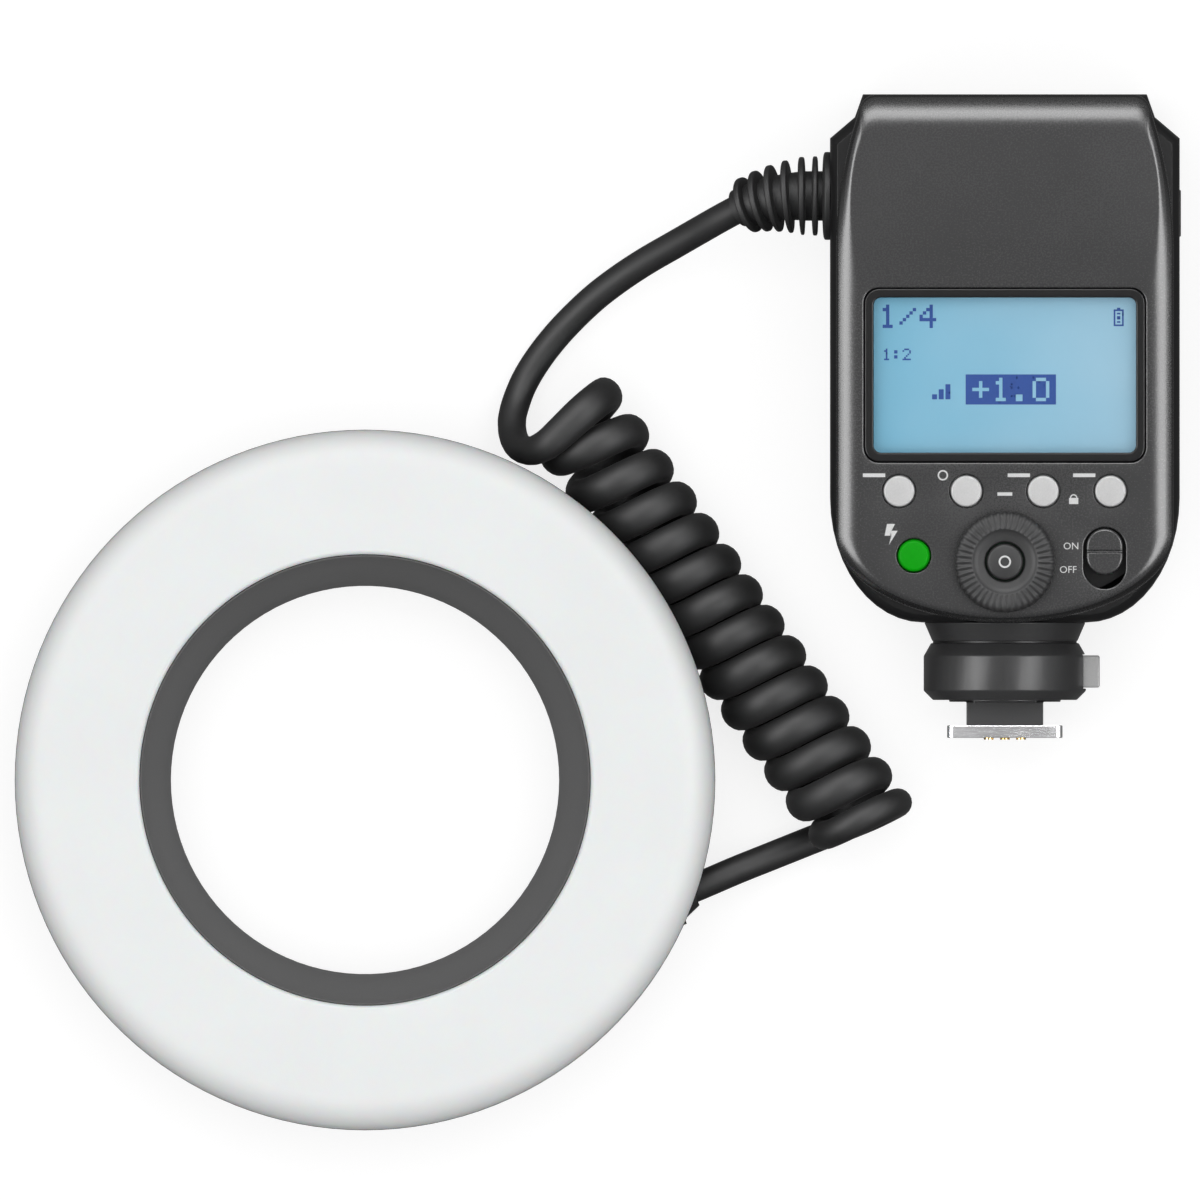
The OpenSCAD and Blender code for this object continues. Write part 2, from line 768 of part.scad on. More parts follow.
// Cord: the curls' centre line, by turns u from the first tip, in the axis's own directions
function curl_along(u) = first_tip + curl_pitch * u + curl_open * (1 - exp(-u / curl_open_turns))
    + first_band * pow(max(0, first_band_to - u), 2) - last_band * pow(max(0, u - last_band_from), 2);
function curl_height(u) = curl_r + cord_r + table_gap
    + first_lift * smooth((first_lift_to - u) / first_lift_turns)
    + last_lift * smooth((u - last_lift_from) / last_lift_turns);
function curl_drop(u) = u > curls ? curl_height(u) - cord_r - table_gap : curl_r;
function curl_point(u) =
    (axis_off + curl_r * cos(360 * u)) * axis_side + curl_along(u) * axis_dir
    + [0, 0, curl_height(u) - curl_drop(u) * sin(360 * u)];
function curl_tangent(u) = unit(curl_point(u + 0.002) - curl_point(u - 0.002));
curl_steps = (curl_to - curl_from) * curl_rings;
coil_start = curl_point(curl_from) - cord_d * curl_tangent(curl_from);
coil_end = curl_point(curl_to) + cord_d * curl_tangent(curl_to);
coil_line = concat([coil_start],
    [for (i = [0:curl_steps]) curl_point(curl_from + i / curl_rings)], [coil_end]);
coil_tangents = concat([curl_tangent(curl_from)],
    [for (i = [0:curl_steps]) curl_tangent(curl_from + i / curl_rings)], [curl_tangent(curl_to)]);
gland_tip = gland_at + (gland_out + gland_len) * gland_dir;
upper_line = concat([boot_point(boot_start + boot_len)], upper_route, [coil_start]);
lower_line = concat([coil_end], lower_route, [gland_tip]);
function ended(tans, first, last) =
    [for (i = [0:len(tans) - 1]) i == 0 ? first : i == len(tans) - 1 ? last : tans[i]];

// Least gap of the curls and their straight ends to themselves, on points a twelfth of a curl apart
gap_steps = 12;
end_shares = [0, 1 / 3, 2 / 3];
gap_points = concat(
    [for (q = end_shares) coil_start + q * (curl_point(curl_from) - coil_start)],
    [for (u = [curl_from:1 / gap_steps:curl_to]) curl_point(u)],
    [for (q = end_shares) curl_point(curl_to) + (q + 1 / 3) * (coil_end - curl_point(curl_to))]);
curl_gap = min([for (i = [0:len(gap_points) - 1])
    for (j = [i + gap_steps / 2:min(i + 2 * gap_steps, len(gap_points) - 1)])
        if (j > i) norm(gap_points[i] - gap_points[j])]) - cord_d;
echo(least_gap_of_the_curls_mm = curl_gap);

module cord_upper() {
    color([0.16, 0.16, 0.16])
        tube(upper_line,
            ended(tangents(upper_line), boot_tangent(boot_start + boot_len), curl_tangent(curl_from)),
            cord_r, cord_sides, [0, 0, 1]);
}
module cord_coil() {
    color([0.16, 0.16, 0.16]) tube(coil_line, coil_tangents, cord_r, curl_sides, [0, 0, 1]);
}
module cord_lower() {
    color([0.16, 0.16, 0.16])
        tube(lower_line, ended(tangents(lower_line), curl_tangent(curl_to), -gland_dir),
            cord_r, cord_sides, [0, 0, 1]);
}

// Boot: two base rings on the housing, then ribs that shrink along a core that bends down
function boot_turn(d) = boot_bend * max(0, d - boot_start) / boot_len;
function boot_point(d) = let (a = boot_turn(d))
    [unit_x - half_w, unit_y + boot_y, boot_z] + min(d, boot_start) * boot_out
    + boot_bend_r * (sin(a) * boot_out + (1 - cos(a)) * boot_sag);
function boot_tangent(d) = let (a = boot_turn(d)) cos(a) * boot_out + sin(a) * boot_sag;
function boot_rib(from, t, core, r) = [
    [from, core], [from + boot_rib_edge, r], [from + t - boot_rib_edge, r], [from + t, core]];
boot_profile = concat(
    [[0, boot_base_r], [boot_ring_t, boot_base_r], [boot_ring_t, boot_core_r]],
    boot_rib(boot_ring_t + boot_groove, boot_ring_t, boot_core_r, boot_base_r - boot_groove),
    [for (i = [0:boot_ribs - 1]) let (w = i / (boot_ribs - 1))
        each boot_rib(boot_start + i * boot_len / boot_ribs, boot_rib_t,
            boot_core_r + (boot_core_end_r - boot_core_r) * w,
            boot_rib_r + (boot_rib_end_r - boot_rib_r) * w)],
    [[boot_start + boot_len, boot_core_end_r]]);
module cord_boot() {
    color([0.1, 0.1, 0.1]) {
        tube([for (p = boot_profile) boot_point(p[0])], [for (p = boot_profile) boot_tangent(p[0])],
            [for (p = boot_profile) p[1]], boot_sides, [0, 0, 1]);
        at_unit() translate([-half_w, boot_y, boot_z]) rotate([0, -90, 0])
            drum(boot_spigot_r, -shell_wall, boot_ring_t / 2);
    }
}

// Control unit: shells
module panel_cavity(z0, z1) {
    plate(drawn_in(panel_outline, half_panel, cavity_side, cavity_bottom, cavity_top), z0, z1);
}
module front_shell() {
    rounding = [for (i = [0:edge_steps]) let (a = 90 * i / edge_steps)
        [foot_edge_h * (1 - cos(a)), foot_edge * (1 - sin(a))]];
    layers = concat(rounding, [[seam_z - seam_edge_h, 0],
        [seam_z - seam_edge_h * 0.4, seam_edge * 0.3], [seam_z, seam_edge]]);
    bay_low = pack_low - run;
    bay_high = pack_high + run;
    color([0.12, 0.12, 0.12]) at_unit() difference() {
        union() {
            difference() {
                loft([for (l = layers)
                    [l[0], drawn_in(body_outline, half_w, l[1], l[1], l[1])]]);
                plate(drawn_in(body_outline, half_w, shell_wall, shell_wall, shell_wall),
                    shell_wall, seam_z - deck_t);
                panel_cavity(seam_z - deck_t - over, seam_z + over);
                slab(half_w - 2 * shell_wall, half_w + over, bay_low, bay_high,
                    pack_z - run, pack_z + pack_t + run);
            }
            for (p = posts) translate(p) drum(post_r, shell_wall / 2, chassis_z);
            for (y = [bay_low - rail_w, bay_high])
                slab(pack_left, half_w - shell_wall / 2, y, y + rail_w, shell_wall / 2, pack_z + pack_t);
            for (y = [bay_low + pack_strip_in, bay_high - pack_strip_in - pack_strip_w])
                slab(pack_left, half_w - shell_wall, y, y + pack_strip_w, shell_wall / 2, pack_z - run);
            for (x = [-1, 1]) for (y = [standoff_in, power_board_l - standoff_in])
                translate([x * (power_board_w / 2 - standoff_in), power_board_y + y])
                    drum(standoff_r, shell_wall / 2, power_board_z);
        }
        for (p = posts) translate(p) {
            drum(shell_screw_head_r + 0.2, -over, counterbore_z);
            drum(shell_screw_r + 0.1, 0, chassis_z + over);
        }
        translate([-half_w - over, boot_y, boot_z]) rotate([0, 90, 0])
            cylinder(r = boot_spigot_r + fit / 2, h = shell_wall + 2 * over);
        translate([0, release_y, release_z])
            slab(half_w - shell_wall - over, half_w + over,
                -release_w / 2 - release_clear, release_w / 2 + release_clear,
                -release_t / 2 - release_clear, release_t / 2 + release_clear);
    }
}

// Raised face: its edge rolls in further at the top than at the bottom
module panel_shell() {
    layers = concat([[seam_z, 0]], [for (i = [0:edge_steps]) let (a = 90 * i / edge_steps)
        [unit_h - edge_h + edge_h * sin(a), 1 - cos(a)]]);
    color([0.3, 0.3, 0.3]) at_unit() difference() {
        union() {
            difference() {
                loft([for (l = layers) [l[0], drawn_in(panel_outline, half_panel,
                    edge_side * l[1], edge_bottom * l[1], edge_top * l[1])]]);
                panel_cavity(seam_z - over, face_in_z);
            }
            for (p = posts) translate(p) drum(boss_r, board_top, face_in_z + shell_wall / 2);
        }
        for (p = posts) translate(p) drum(shell_screw_r + 0.05, board_top - over, board_top + screw_bite);
        translate([0, lcd_y, 0]) plate(rounded(lcd_w + 2 * bezel_w + 2 * fit,
            lcd_l + 2 * bezel_w + 2 * fit, bezel_r), face_in_z - over, unit_h + over);
        for (x = key_xs) translate([x, key_y, 0])
            drum(key_d / 2 + key_clear, face_in_z - over, unit_h + over);
        translate(test_at) drum(test_d / 2 + key_clear, face_in_z - over, unit_h + over);
        translate(dial_at) drum(hub_r + fit, face_in_z - over, unit_h + over);
        translate(slider_at) stadium(slot_w, slot_l, face_in_z - over, unit_h + over);
    }
}

// Plate between the battery and the boards, on the front shell's posts
module chassis() {
    color([0.2, 0.2, 0.2]) at_unit() difference() {
        union() {
            plate(drawn_in(panel_outline, half_panel, cavity_side + run, cavity_bottom + run,
                cavity_top + run), chassis_z, chassis_z + chassis_t);
            for (p = posts) translate(p) drum(boss_r, chassis_z + chassis_t / 2, board_z);
        }
        for (p = posts) translate(p) drum(shell_screw_r + 0.1, chassis_z - over, board_z + over);
        translate([0, lcd_y, 0]) 
            stadium(cable_slot_w, cable_slot_l, chassis_z - over, chassis_z + chassis_t + over);
    }
}

module main_board() {
    color([0.1, 0.35, 0.2]) at_unit() difference() {
        plate(drawn_in(panel_outline, half_panel, cavity_side + 0.6, cavity_bottom + 0.6,
            cavity_top + 0.6), board_z, board_top);
        for (p = posts) translate(p) drum(shell_screw_r + 0.1, board_z - over, board_top + over);
    }
}

module power_board() {
    color([0.1, 0.35, 0.2]) at_unit()
        slab(-power_board_w / 2, power_board_w / 2, power_board_y, power_board_y + power_board_l,
            power_board_z, power_board_z + board_t);
}
module transformer() {
    on = power_board_z + board_t;
    mid = power_board_y + power_board_l / 2;
    color([0.55, 0.4, 0.15]) at_unit() translate([0, mid, on]) {
        for (z = [0, core_h - core_t])
            slab(-core_w / 2, core_w / 2, -core_l / 2, core_l / 2, z, z + core_t);
        slab(-winding_w / 2, winding_w / 2, -winding_l / 2, winding_l / 2, core_t / 2, core_h - core_t / 2);
    }
}
module flash_capacitor() {
    color([0.1, 0.12, 0.18]) at_unit()
        translate([-cap_l / 2, cap_y, shell_wall + run + cap_d / 2]) rotate([0, 90, 0])
            cylinder(d = cap_d, h = cap_l);
}

// Battery pack: slides out of the right side, with a ribbed end that is flush with the housing
module battery_pack() {
    color([0.15, 0.15, 0.15]) at_unit() difference() {
        slab(pack_left, half_w, pack_y - pack_w / 2, pack_y + pack_w / 2, pack_z, pack_z + pack_t);
        for (i = [-2:2])
            translate([half_w, pack_y + i * 2 * pack_grip_w, pack_z])
                slab(-pack_grip_depth, over, -pack_grip_w / 2, pack_grip_w / 2,
                    pack_grip_in, pack_t - pack_grip_in);
    }
}
module battery_contacts() {
    color([0.8, 0.65, 0.3]) at_unit()
        for (i = [-1, 0, 1])
            translate([0, pack_y + i * blade_pitch, pack_z])
                slab(-half_w + shell_wall, pack_left - run, -blade_w / 2, blade_w / 2, blade_low, blade_high);
}
module battery_release() {
    inside = half_w - shell_wall - run;
    color([0.2, 0.2, 0.2]) at_unit() translate([0, release_y, release_z]) {
        slab(inside - release_flange_t / 2, half_w + release_proud, -release_w / 2, release_w / 2,
            -release_t / 2, release_t / 2);
        slab(inside - release_flange_t, inside, -release_w / 2 - release_flange,
            release_w / 2 + release_flange, -release_t / 2 - release_flange, release_t / 2 + release_flange);
    }
}
module shell_screws() {
    color([0.35, 0.35, 0.37]) at_unit()
        for (p = posts) translate(p) {
            drum(shell_screw_head_r, counterbore_z - shell_screw_head_t, counterbore_z);
            drum(shell_screw_r, counterbore_z - shell_screw_head_t / 2, board_top + screw_bite - 0.2);
        }
}

// Display: a frame with a flange behind the face, its window and the display module
module lcd_bezel() {
    color([0.08, 0.08, 0.09]) at_unit() translate([0, lcd_y, 0]) difference() {
        union() {
            plate(rounded(lcd_w + 2 * bezel_w, lcd_l + 2 * bezel_w, bezel_r),
                face_in_z - bezel_flange_t / 2, unit_h - bezel_sink);
            plate(rounded(lcd_w + 2 * bezel_w + 2 * bezel_flange,
                lcd_l + 2 * bezel_w + 2 * bezel_flange, bezel_r),
                face_in_z - bezel_flange_t, face_in_z);
        }
        plate(rounded(lcd_w, lcd_l, lcd_r), face_in_z - 2 * over, unit_h + over);
        plate(rounded(lcd_w + 2 * window_lip + 2 * fit, lcd_l + 2 * window_lip + 2 * fit, lcd_r),
            face_in_z - 2 * over, face_in_z - bezel_flange_t + window_t);
    }
}
module lcd_window() {
    color([0.5, 0.75, 0.85, 0.6]) at_unit() translate([0, lcd_y, 0])
        plate(rounded(lcd_w + 2 * window_lip, lcd_l + 2 * window_lip, lcd_r),
            face_in_z - bezel_flange_t, face_in_z - bezel_flange_t + window_t);
}
module lcd_module() {
    color([0.45, 0.68, 0.8]) at_unit() translate([0, lcd_y, 0])
        plate(rounded(lcd_w + 2 * module_margin, lcd_l + 2 * module_margin, lcd_r),
            board_top, face_in_z - bezel_flange_t);
}

// Push button: a round cap with a flange that stays behind the face
module push_button(at, d) {
    flange_top = face_in_z - run;
    at_unit() translate(at) {
        drum(d / 2, flange_top - key_flange_t / 2, unit_h + key_proud);
        drum(d / 2 + key_flange, flange_top - key_flange_t, flange_top);
    }
}
module key(i) { color([0.8, 0.8, 0.8]) push_button([key_xs[i], key_y], key_d); }
module key_1() { key(0); }
module key_2() { key(1); }
module key_3() { key(2); }
module key_4() { key(3); }
module test_button() { color([0.05, 0.6, 0.1]) push_button(test_at, test_d); }

module keypad_mat() {
    dome_top = face_in_z - run - key_flange_t - key_travel - dome_gap;
    row_top = key_y + key_d / 2 + key_flange;
    color([0.6, 0.6, 0.6]) at_unit() {
        slab(-key_outer_x - dome_r, key_outer_x + dome_r, key_y - dome_r - mat_edge, row_top,
            board_top, board_top + mat_t);
        slab(test_at.x - mat_tongue, test_at.x + mat_tongue, test_at.y - dome_r - mat_edge, key_y - dome_r,
            board_top, board_top + mat_t);
        for (p = concat([for (x = key_xs) [x, key_y]], [test_at]))
            translate(p) cone(dome_r, dome_r - dome_taper, board_top + mat_t / 2, dome_top);
    }
}

// Dial: a ribbed rim on a hollow hub that turns in the encoder's ring
function ribbed(n, r_in, r_out) = [
    for (i = [0:n - 1]) for (q = [[-0.25, r_in], [-0.25, r_out], [0.25, r_out], [0.25, r_in]])
        let (a = 360 * (i + q[0]) / n) q[1] * [cos(a), sin(a)]];
module dial() {
    low = unit_h + run;
    top = low + dial_h;
    color([0.2, 0.2, 0.2]) at_unit() translate(dial_at) difference() {
        union() {
            drum(dial_d / 2, low, top - dial_rib_h);
            plate(ribbed(dial_ribs, dial_rib_in, dial_d / 2 - dial_rib_edge), top - 2 * dial_rib_h, top);
            drum(hub_r, board_top + dial_lift, low + dial_rib_h);
        }
        drum(dial_rib_in - dial_lip, top - dial_face_sink, top + over);
        drum(set_d / 2 + run, board_top, top + over);
    }
}
module set_button() {
    top = unit_h + run + dial_h + set_proud;
    color([0.25, 0.25, 0.25]) at_unit() translate(dial_at) {
        drum(set_d / 2, top - 1.9, top);
        drum(set_stem_r, board_top + 0.9 + set_travel + 0.1, top - 1);
    }
}
module encoder() {
    color([0.55, 0.55, 0.55]) at_unit() translate(dial_at) {
        difference() {
            drum(hub_r + fit + encoder_wall, board_top, face_in_z - run);
            drum(hub_r + fit, board_top - over, face_in_z + over);
        }
        drum(set_stem_r, board_top, board_top + 0.9);
    }
}

// Power slider: a grooved knob in a long slot, with a stem in the switch behind it
knob_y = slider_at.y + slot_l / 2 - slot_end - slider_l / 2;
module power_slider() {
    color([0.18, 0.18, 0.18]) at_unit() translate([slider_at.x, knob_y, 0]) {
        difference() {
            stadium(slider_w, slider_l, face_in_z - slider_sink, unit_h + slider_proud);
            slab(-slider_w, slider_w, -slider_groove / 2, slider_groove / 2,
                unit_h + slider_proud - slider_groove_h, unit_h + slider_proud + over);
        }
        slab(-slider_stem / 2, slider_stem / 2, -slider_stem_l / 2, slider_stem_l / 2,
            face_in_z - slider_stem_h, face_in_z);
    }
}
// Switch with a lid that closes the slot from behind, as far as the face's wall allows
module power_switch() {
    top = face_in_z - slider_sink - run;
    color([0.3, 0.3, 0.3]) at_unit() difference() {
        union() {
            translate(slider_at)
                slab(-slot_w / 2 - switch_margin, slot_w / 2 + switch_margin, -switch_low, switch_high,
                    board_top, top);
            intersection() {
                translate(slider_at)
                    stadium(slot_w + 2 * switch_margin, slot_l + 2 * switch_margin, top - switch_lid_t, top);
                plate(drawn_in(panel_outline, half_panel, cavity_side + fit, cavity_bottom + fit,
                    cavity_top + fit), top - switch_lid_t, top);
            }
        }
        translate([slider_at.x, knob_y, 0])
            slab(-slider_stem / 2 - run, slider_stem / 2 + run, -slider_stem_l / 2 - slider_travel - run,
                slider_stem_l / 2 + run, face_in_z - slider_stem_h - run, top + over);
    }
}

// Foot: a neck with a spigot for the collar and a post that carries the plate
module foot_neck() {
    color([0.14, 0.14, 0.14]) at_foot() difference() {
        union() {
            cone(neck_r, neck_tip_r, 0, neck_l);
            drum(spigot_r, neck_l - over, post_start);
            slab(-post_w / 2, post_w / 2, -post_depth / 2, post_depth / 2, post_start, plate_at);
        }
        translate([0, pin_y, 0]) drum(pin_r + pin_clear, pin_top - 1, plate_at + over);
    }
}
module lock_collar() {
    top = neck_l + collar_gap;
    low = top + collar_l;
    r = collar_d / 2;
    color([0.16, 0.16, 0.16]) at_foot() difference() {
        rotate_extrude() polygon([
            [spigot_r + fit, top], [collar_top_r, top], [r, top + collar_bevel],
            [r, low - collar_foot_bevel], [collar_bottom_r, low], [spigot_r + fit, low]]);
        slab(tab_in - tab_travel - 0.2, r + over, -tab_depth / 2 - 0.15, tab_depth / 2 + 0.15,
            top + (collar_l - tab_w) / 2 - 0.15, top + (collar_l + tab_w) / 2 + 0.15);
    }
}
module lock_release() {
    mid = neck_l + collar_gap + collar_l / 2;
    color([0.68, 0.68, 0.68]) at_foot()
        slab(tab_in, collar_d / 2 + tab_proud, -tab_depth / 2, tab_depth / 2,
            mid - tab_w / 2, mid + tab_w / 2);
}
module lock_pin() {
    color([0.75, 0.75, 0.77]) at_foot() translate([0, pin_y, 0]) drum(pin_r, pin_top, plate_end - pin_sink);
}
module foot_plate() {
    color([0.78, 0.78, 0.8]) at_foot() difference() {
        plate(rounded(foot_w, foot_l, 1), plate_at, plate_end);
        slab(-block_w / 2 - fit / 2, block_w / 2 + fit / 2, block_back - fit / 2, block_front + fit / 2,
            plate_at - over, plate_end + over);
        translate([0, pin_y, 0]) drum(pin_r + pin_clear, plate_at - over, plate_end + over);
    }
}
module contact_block() {
    color([0.1, 0.1, 0.1]) at_foot()
        slab(-block_w / 2, block_w / 2, block_back, block_front, plate_at, plate_end - 0.1);
}
module contact_pins() {
    color([0.8, 0.65, 0.3]) at_foot()
        for (p = contact_places) translate(p) drum(contact_r, plate_end - 0.1, plate_end + contact_proud);
}

head_housing();
inner_cone();
diffuser();
reflector();
flash_tube_a();
flash_tube_b();
tube_holders();
trigger_board();
trigger_parts();
latch_cover();
latch_upper();
latch_lower();
latch_spring_upper();
latch_spring_lower();
head_screws();
head_gland();
cord_upper();
cord_coil();
cord_lower();
cord_boot();
front_shell();
panel_shell();
chassis();
main_board();
power_board();
transformer();
flash_capacitor();
battery_pack();
battery_release();
battery_contacts();
shell_screws();
lcd_bezel();
lcd_window();
lcd_module();
key_1();
key_2();
key_3();
key_4();
keypad_mat();
test_button();
dial();
set_button();
encoder();
power_slider();
power_switch();
foot_neck();
lock_collar();
lock_release();
lock_pin();
foot_plate();
contact_block();
contact_pins();
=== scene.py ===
"""Looks of the macro ring flash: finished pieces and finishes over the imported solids.

Sizes in the functions are millimetres in the part's own frame; meshes are made in metres.
"""

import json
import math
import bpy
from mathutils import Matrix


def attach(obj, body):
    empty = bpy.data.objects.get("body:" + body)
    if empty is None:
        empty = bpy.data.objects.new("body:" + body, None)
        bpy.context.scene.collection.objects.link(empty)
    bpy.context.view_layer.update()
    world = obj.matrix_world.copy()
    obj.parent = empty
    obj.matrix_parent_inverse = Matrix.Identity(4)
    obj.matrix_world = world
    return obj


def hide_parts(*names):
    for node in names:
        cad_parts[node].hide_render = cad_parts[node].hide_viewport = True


bl_info = {
    "name": "Macro ring flash",
    "version": (1, 0, 0),
    "blender": (4, 5, 0),
    "location": "View3D > Sidebar > Ring flash",
    "description": "Dresses the packed solids of a macro ring flash with finished pieces and finishes",
    "category": "Object",
}

from functools import partialmethod

import bmesh
import bpy
import numpy as np
from bpy.props import FloatProperty, FloatVectorProperty, IntProperty, PointerProperty
from mathutils import Vector
from mathutils.geometry import delaunay_2d_cdt

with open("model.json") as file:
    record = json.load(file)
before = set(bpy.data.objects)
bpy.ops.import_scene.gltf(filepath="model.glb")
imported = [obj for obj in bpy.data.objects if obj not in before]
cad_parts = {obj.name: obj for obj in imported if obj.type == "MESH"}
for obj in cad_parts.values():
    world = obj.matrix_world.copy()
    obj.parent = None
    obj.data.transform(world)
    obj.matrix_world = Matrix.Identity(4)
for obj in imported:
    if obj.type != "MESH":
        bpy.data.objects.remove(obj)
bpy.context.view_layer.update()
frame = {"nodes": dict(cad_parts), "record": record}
MM = 0.001
WELD = 2e-6

# Ring head
DIFFUSER_R = 56.42
DIFFUSER_WALL = 2.0
BORE_R = 31.3
MOUTH_R = 36.3
HEAD_H = 26.0
RIM_TOP = 18.5
CONE_Z = 14.0
MOUTH_Z = 25.2
COVER_LIP_Z = MOUTH_Z - 3.6
CONE_LIP, CONE_EDGE, CONE_WALL = 0.25, 2.0, 1.8

# Control unit, and its face's edge: how far it is drawn in, where that fades, and how it is rolled
UNIT = np.array([103.2, 25.4])
UNIT_L = 85.2
UNIT_H = 42.0
SEAM_Z = 30.0
FACE_IN_Z = 40.0
HALF_PANEL = 27.2
PANEL_RY = 14.3
PANEL_STRAIGHT = 60.0
PANEL_TAPER = 4.0
CROWN_DROP, CROWN_CORNER, CROWN_HALF = 1.6, 23.05, 20.6
EDGE_SIDE, EDGE_BOTTOM, EDGE_TOP = 4.0, 1.6, 5.5
EDGE_FADE_END, EDGE_FADE, EDGE_LEFT = 82.0, 27.0, 0.1
LOW_FADE_END, LOW_FADE, LOW_LOSS = 16.0, 12.0, 0.45
# Height below which the face's rolled edge is painted in the housing's colour, as painted shade
PAINTED_SHADE_Z = 41.45
ARC_TILT, ARC_ROUND, ARC_TALLER = math.radians(28), 0.8, 0.7
CAVITY_SIDE, CAVITY_BOTTOM, CAVITY_TOP = 2.1, 1.2, 3.575

# Display and controls, from the middle of the unit's lower edge
LCD_AT = np.array([0.0, 39.9])
LCD_W, LCD_L = 42.3, 25.0
BEZEL_HOLE = (45.5, 28.2, 2.4)
LCD_Z = 38.9
DOT, DOT_SINK, DOT_RISE = 0.27, 0.02, 0.03
KEY_Y = 21.2
KEY_XS = (-17.05, -6.2, 6.2, 17.05)
KEY_R = 2.5
TEST_AT = np.array([-14.66, 10.8])
TEST_R = 2.55
KEY_TOP = 42.9
FLANGE_TOP, FLANGE_T, FLANGE_W = 39.7, 1.1, 0.4
BUTTON_GAP = 0.2
DIAL_AT = np.array([0.0, 9.8])
HUB_R = 4.2
RIB_LOW = 42.8
RIB_FROM, RIB_OVER, RIB_DEPTH = 5.3, 0.35, 0.1
NOTCH_FROM, NOTCH_OVER, NOTCH_DEPTH = 7.7, 0.4, 0.08
SET_R, SET_STEM_R = 2.9, 2.2
SET_LOW, SET_CAP_Z, SET_TOP = 37.2, 43.1, 45.0
SLIDER_AT = np.array([16.1, 10.4])
SLOT_W, SLOT_L = 6.8, 9.9
KNOB_W, KNOB_L = 5.9, 7.4
KNOB_AT = np.array([16.1, 11.45])
KNOB_TOP = 42.6
KNOB_LOW = 39.6
KNOB_STEM = (2.0, 2.4, 0.2)
KNOB_EASE, GROOVE_DEPTH, GROOVE_HALF = 0.4, 0.35, 0.22
STEM_LOW, STEM_TOP = 37.5, 40.0
MARK_T = 0.02

# Foot
FOOT_Z = 17.0
WASHER_AT = (10.4, 22.24)
WASHER_W, WASHER_T = 2.4, 0.38

# Strain relief on the unit's left side
BOOT_AT = np.array([75.0, 94.2, 21.0])
BOOT_OUT = np.array([-1.0, 0.0, 0.0])
BOOT_SAG = np.array([0.0, -0.61, -0.79]) / math.hypot(0.61, 0.79)
BOOT_BEND, BOOT_BEND_R, BOOT_START = math.radians(34), 19.0, 4.0
BOOT_LEN = BOOT_BEND_R * BOOT_BEND
BOOT_CORE, BOOT_CORE_LOSS = 4.0, 0.9

# Curly cord: its curls, how they open, are pulled to the cord's ends and are lifted, by turns, where their
# section goes flat, and the two routes
CORD_R = 2.3
AXIS_DIR = np.array([0.58, -0.815, 0.0])
AXIS_SIDE = np.array([0.815, 0.58, 0.0])
CURL_R = 6.45
CURLS = 13
CURL_FLAT = 0.24
COIL_FROM, COIL_PITCH, COIL_AWAY = -28.5, 6.0, 61.45
COIL_CLEAR = 0.05
OPEN_BY, OPEN_OVER = 3.5, 1.4
ENTRY_TURN, ENTRY_PULL = 0.15, 18.0
EXIT_TURN, EXIT_PULL = 12.9, 22.7
FIRST_END, FIRST_OVER, FIRST_LIFT = 0.35, 0.6, 2.2
LAST_START, LAST_OVER, LAST_LIFT = 10.0, 2.2, 4.0
FLAT_IN, FLAT_IN_OVER = 14.0, 18.0
FLAT_OUT, FLAT_OUT_OVER = 30.0, 36.0
TUCK_UPPER, TUCK_LOWER = 1.2, 0.8
UPPER_ROUTE = np.array([
    [57, 90.4, 16.4], [53.5, 88.4, 13.8], [49.5, 86.1, 11.2], [45.5, 83.8, 8.9],
    [41.5, 81.2, 6.9], [37.5, 78.2, 5.2], [34, 75, 3.9], [30.8, 71.6, 3], [28, 68, 2.6],
    [25.8, 64.4, 2.8], [24.4, 61, 3.8], [23.7, 58, 5.6], [24, 55.2, 8.2], [25.2, 53.5, 11.4],
    [27.4, 53.2, 14.8]])
LOWER_ROUTE = np.array([[72, -9.7, 2.6], [68, -11.3, 3.4], [64, -12.9, 4.6], [60, -14.5, 6]])
GLAND_TIP = np.array([52.88, -17.53, 7.2])
GLAND_DIR = np.array([0.927, 0.375, 0.0])

# Stage, in metres but for the floor
FLOOR_HALF, FLOOR_DROP = 5000.0, 0.3
VIEW_MIDDLE = np.array([0.0379, 0.02903])
CAMERA_Z = 0.6
ROOF_SIZE, ROOF_Z = 0.9, 0.8
WALL_W, WALL_H, WALL_AWAY, WALL_Z = 0.6, 0.65, 0.5, 0.745


class Wire:
    """A socket in a finish's node tree; an expression on wires adds its Math nodes."""

    def __init__(self, tree, socket):
        self.tree = tree
        self.socket = socket

    def math(self, operation, *others):
        """A Math node that this wire and the other values feed, in this order."""
        node = self.tree.nodes.new("ShaderNodeMath")
        node.operation = operation
        for socket, value in zip(node.inputs, (self, *others)):
            plug(self.tree, socket, value)
        return Wire(self.tree, node.outputs[0])

    __add__ = __radd__ = partialmethod(math, "ADD")
    __mul__ = __rmul__ = partialmethod(math, "MULTIPLY")
    __sub__ = partialmethod(math, "SUBTRACT")
    __gt__ = partialmethod(math, "GREATER_THAN")
    share = partialmethod(math, "FRACT")

    def __rsub__(self, other):
        return self.math("MULTIPLY_ADD", -1.0, other)


def plug(tree, socket, value):
    """Link a wire to a socket, or set the socket to a plain value."""
    if isinstance(value, Wire):
        tree.links.new(value.socket, socket)
    else:
        socket.default_value = value


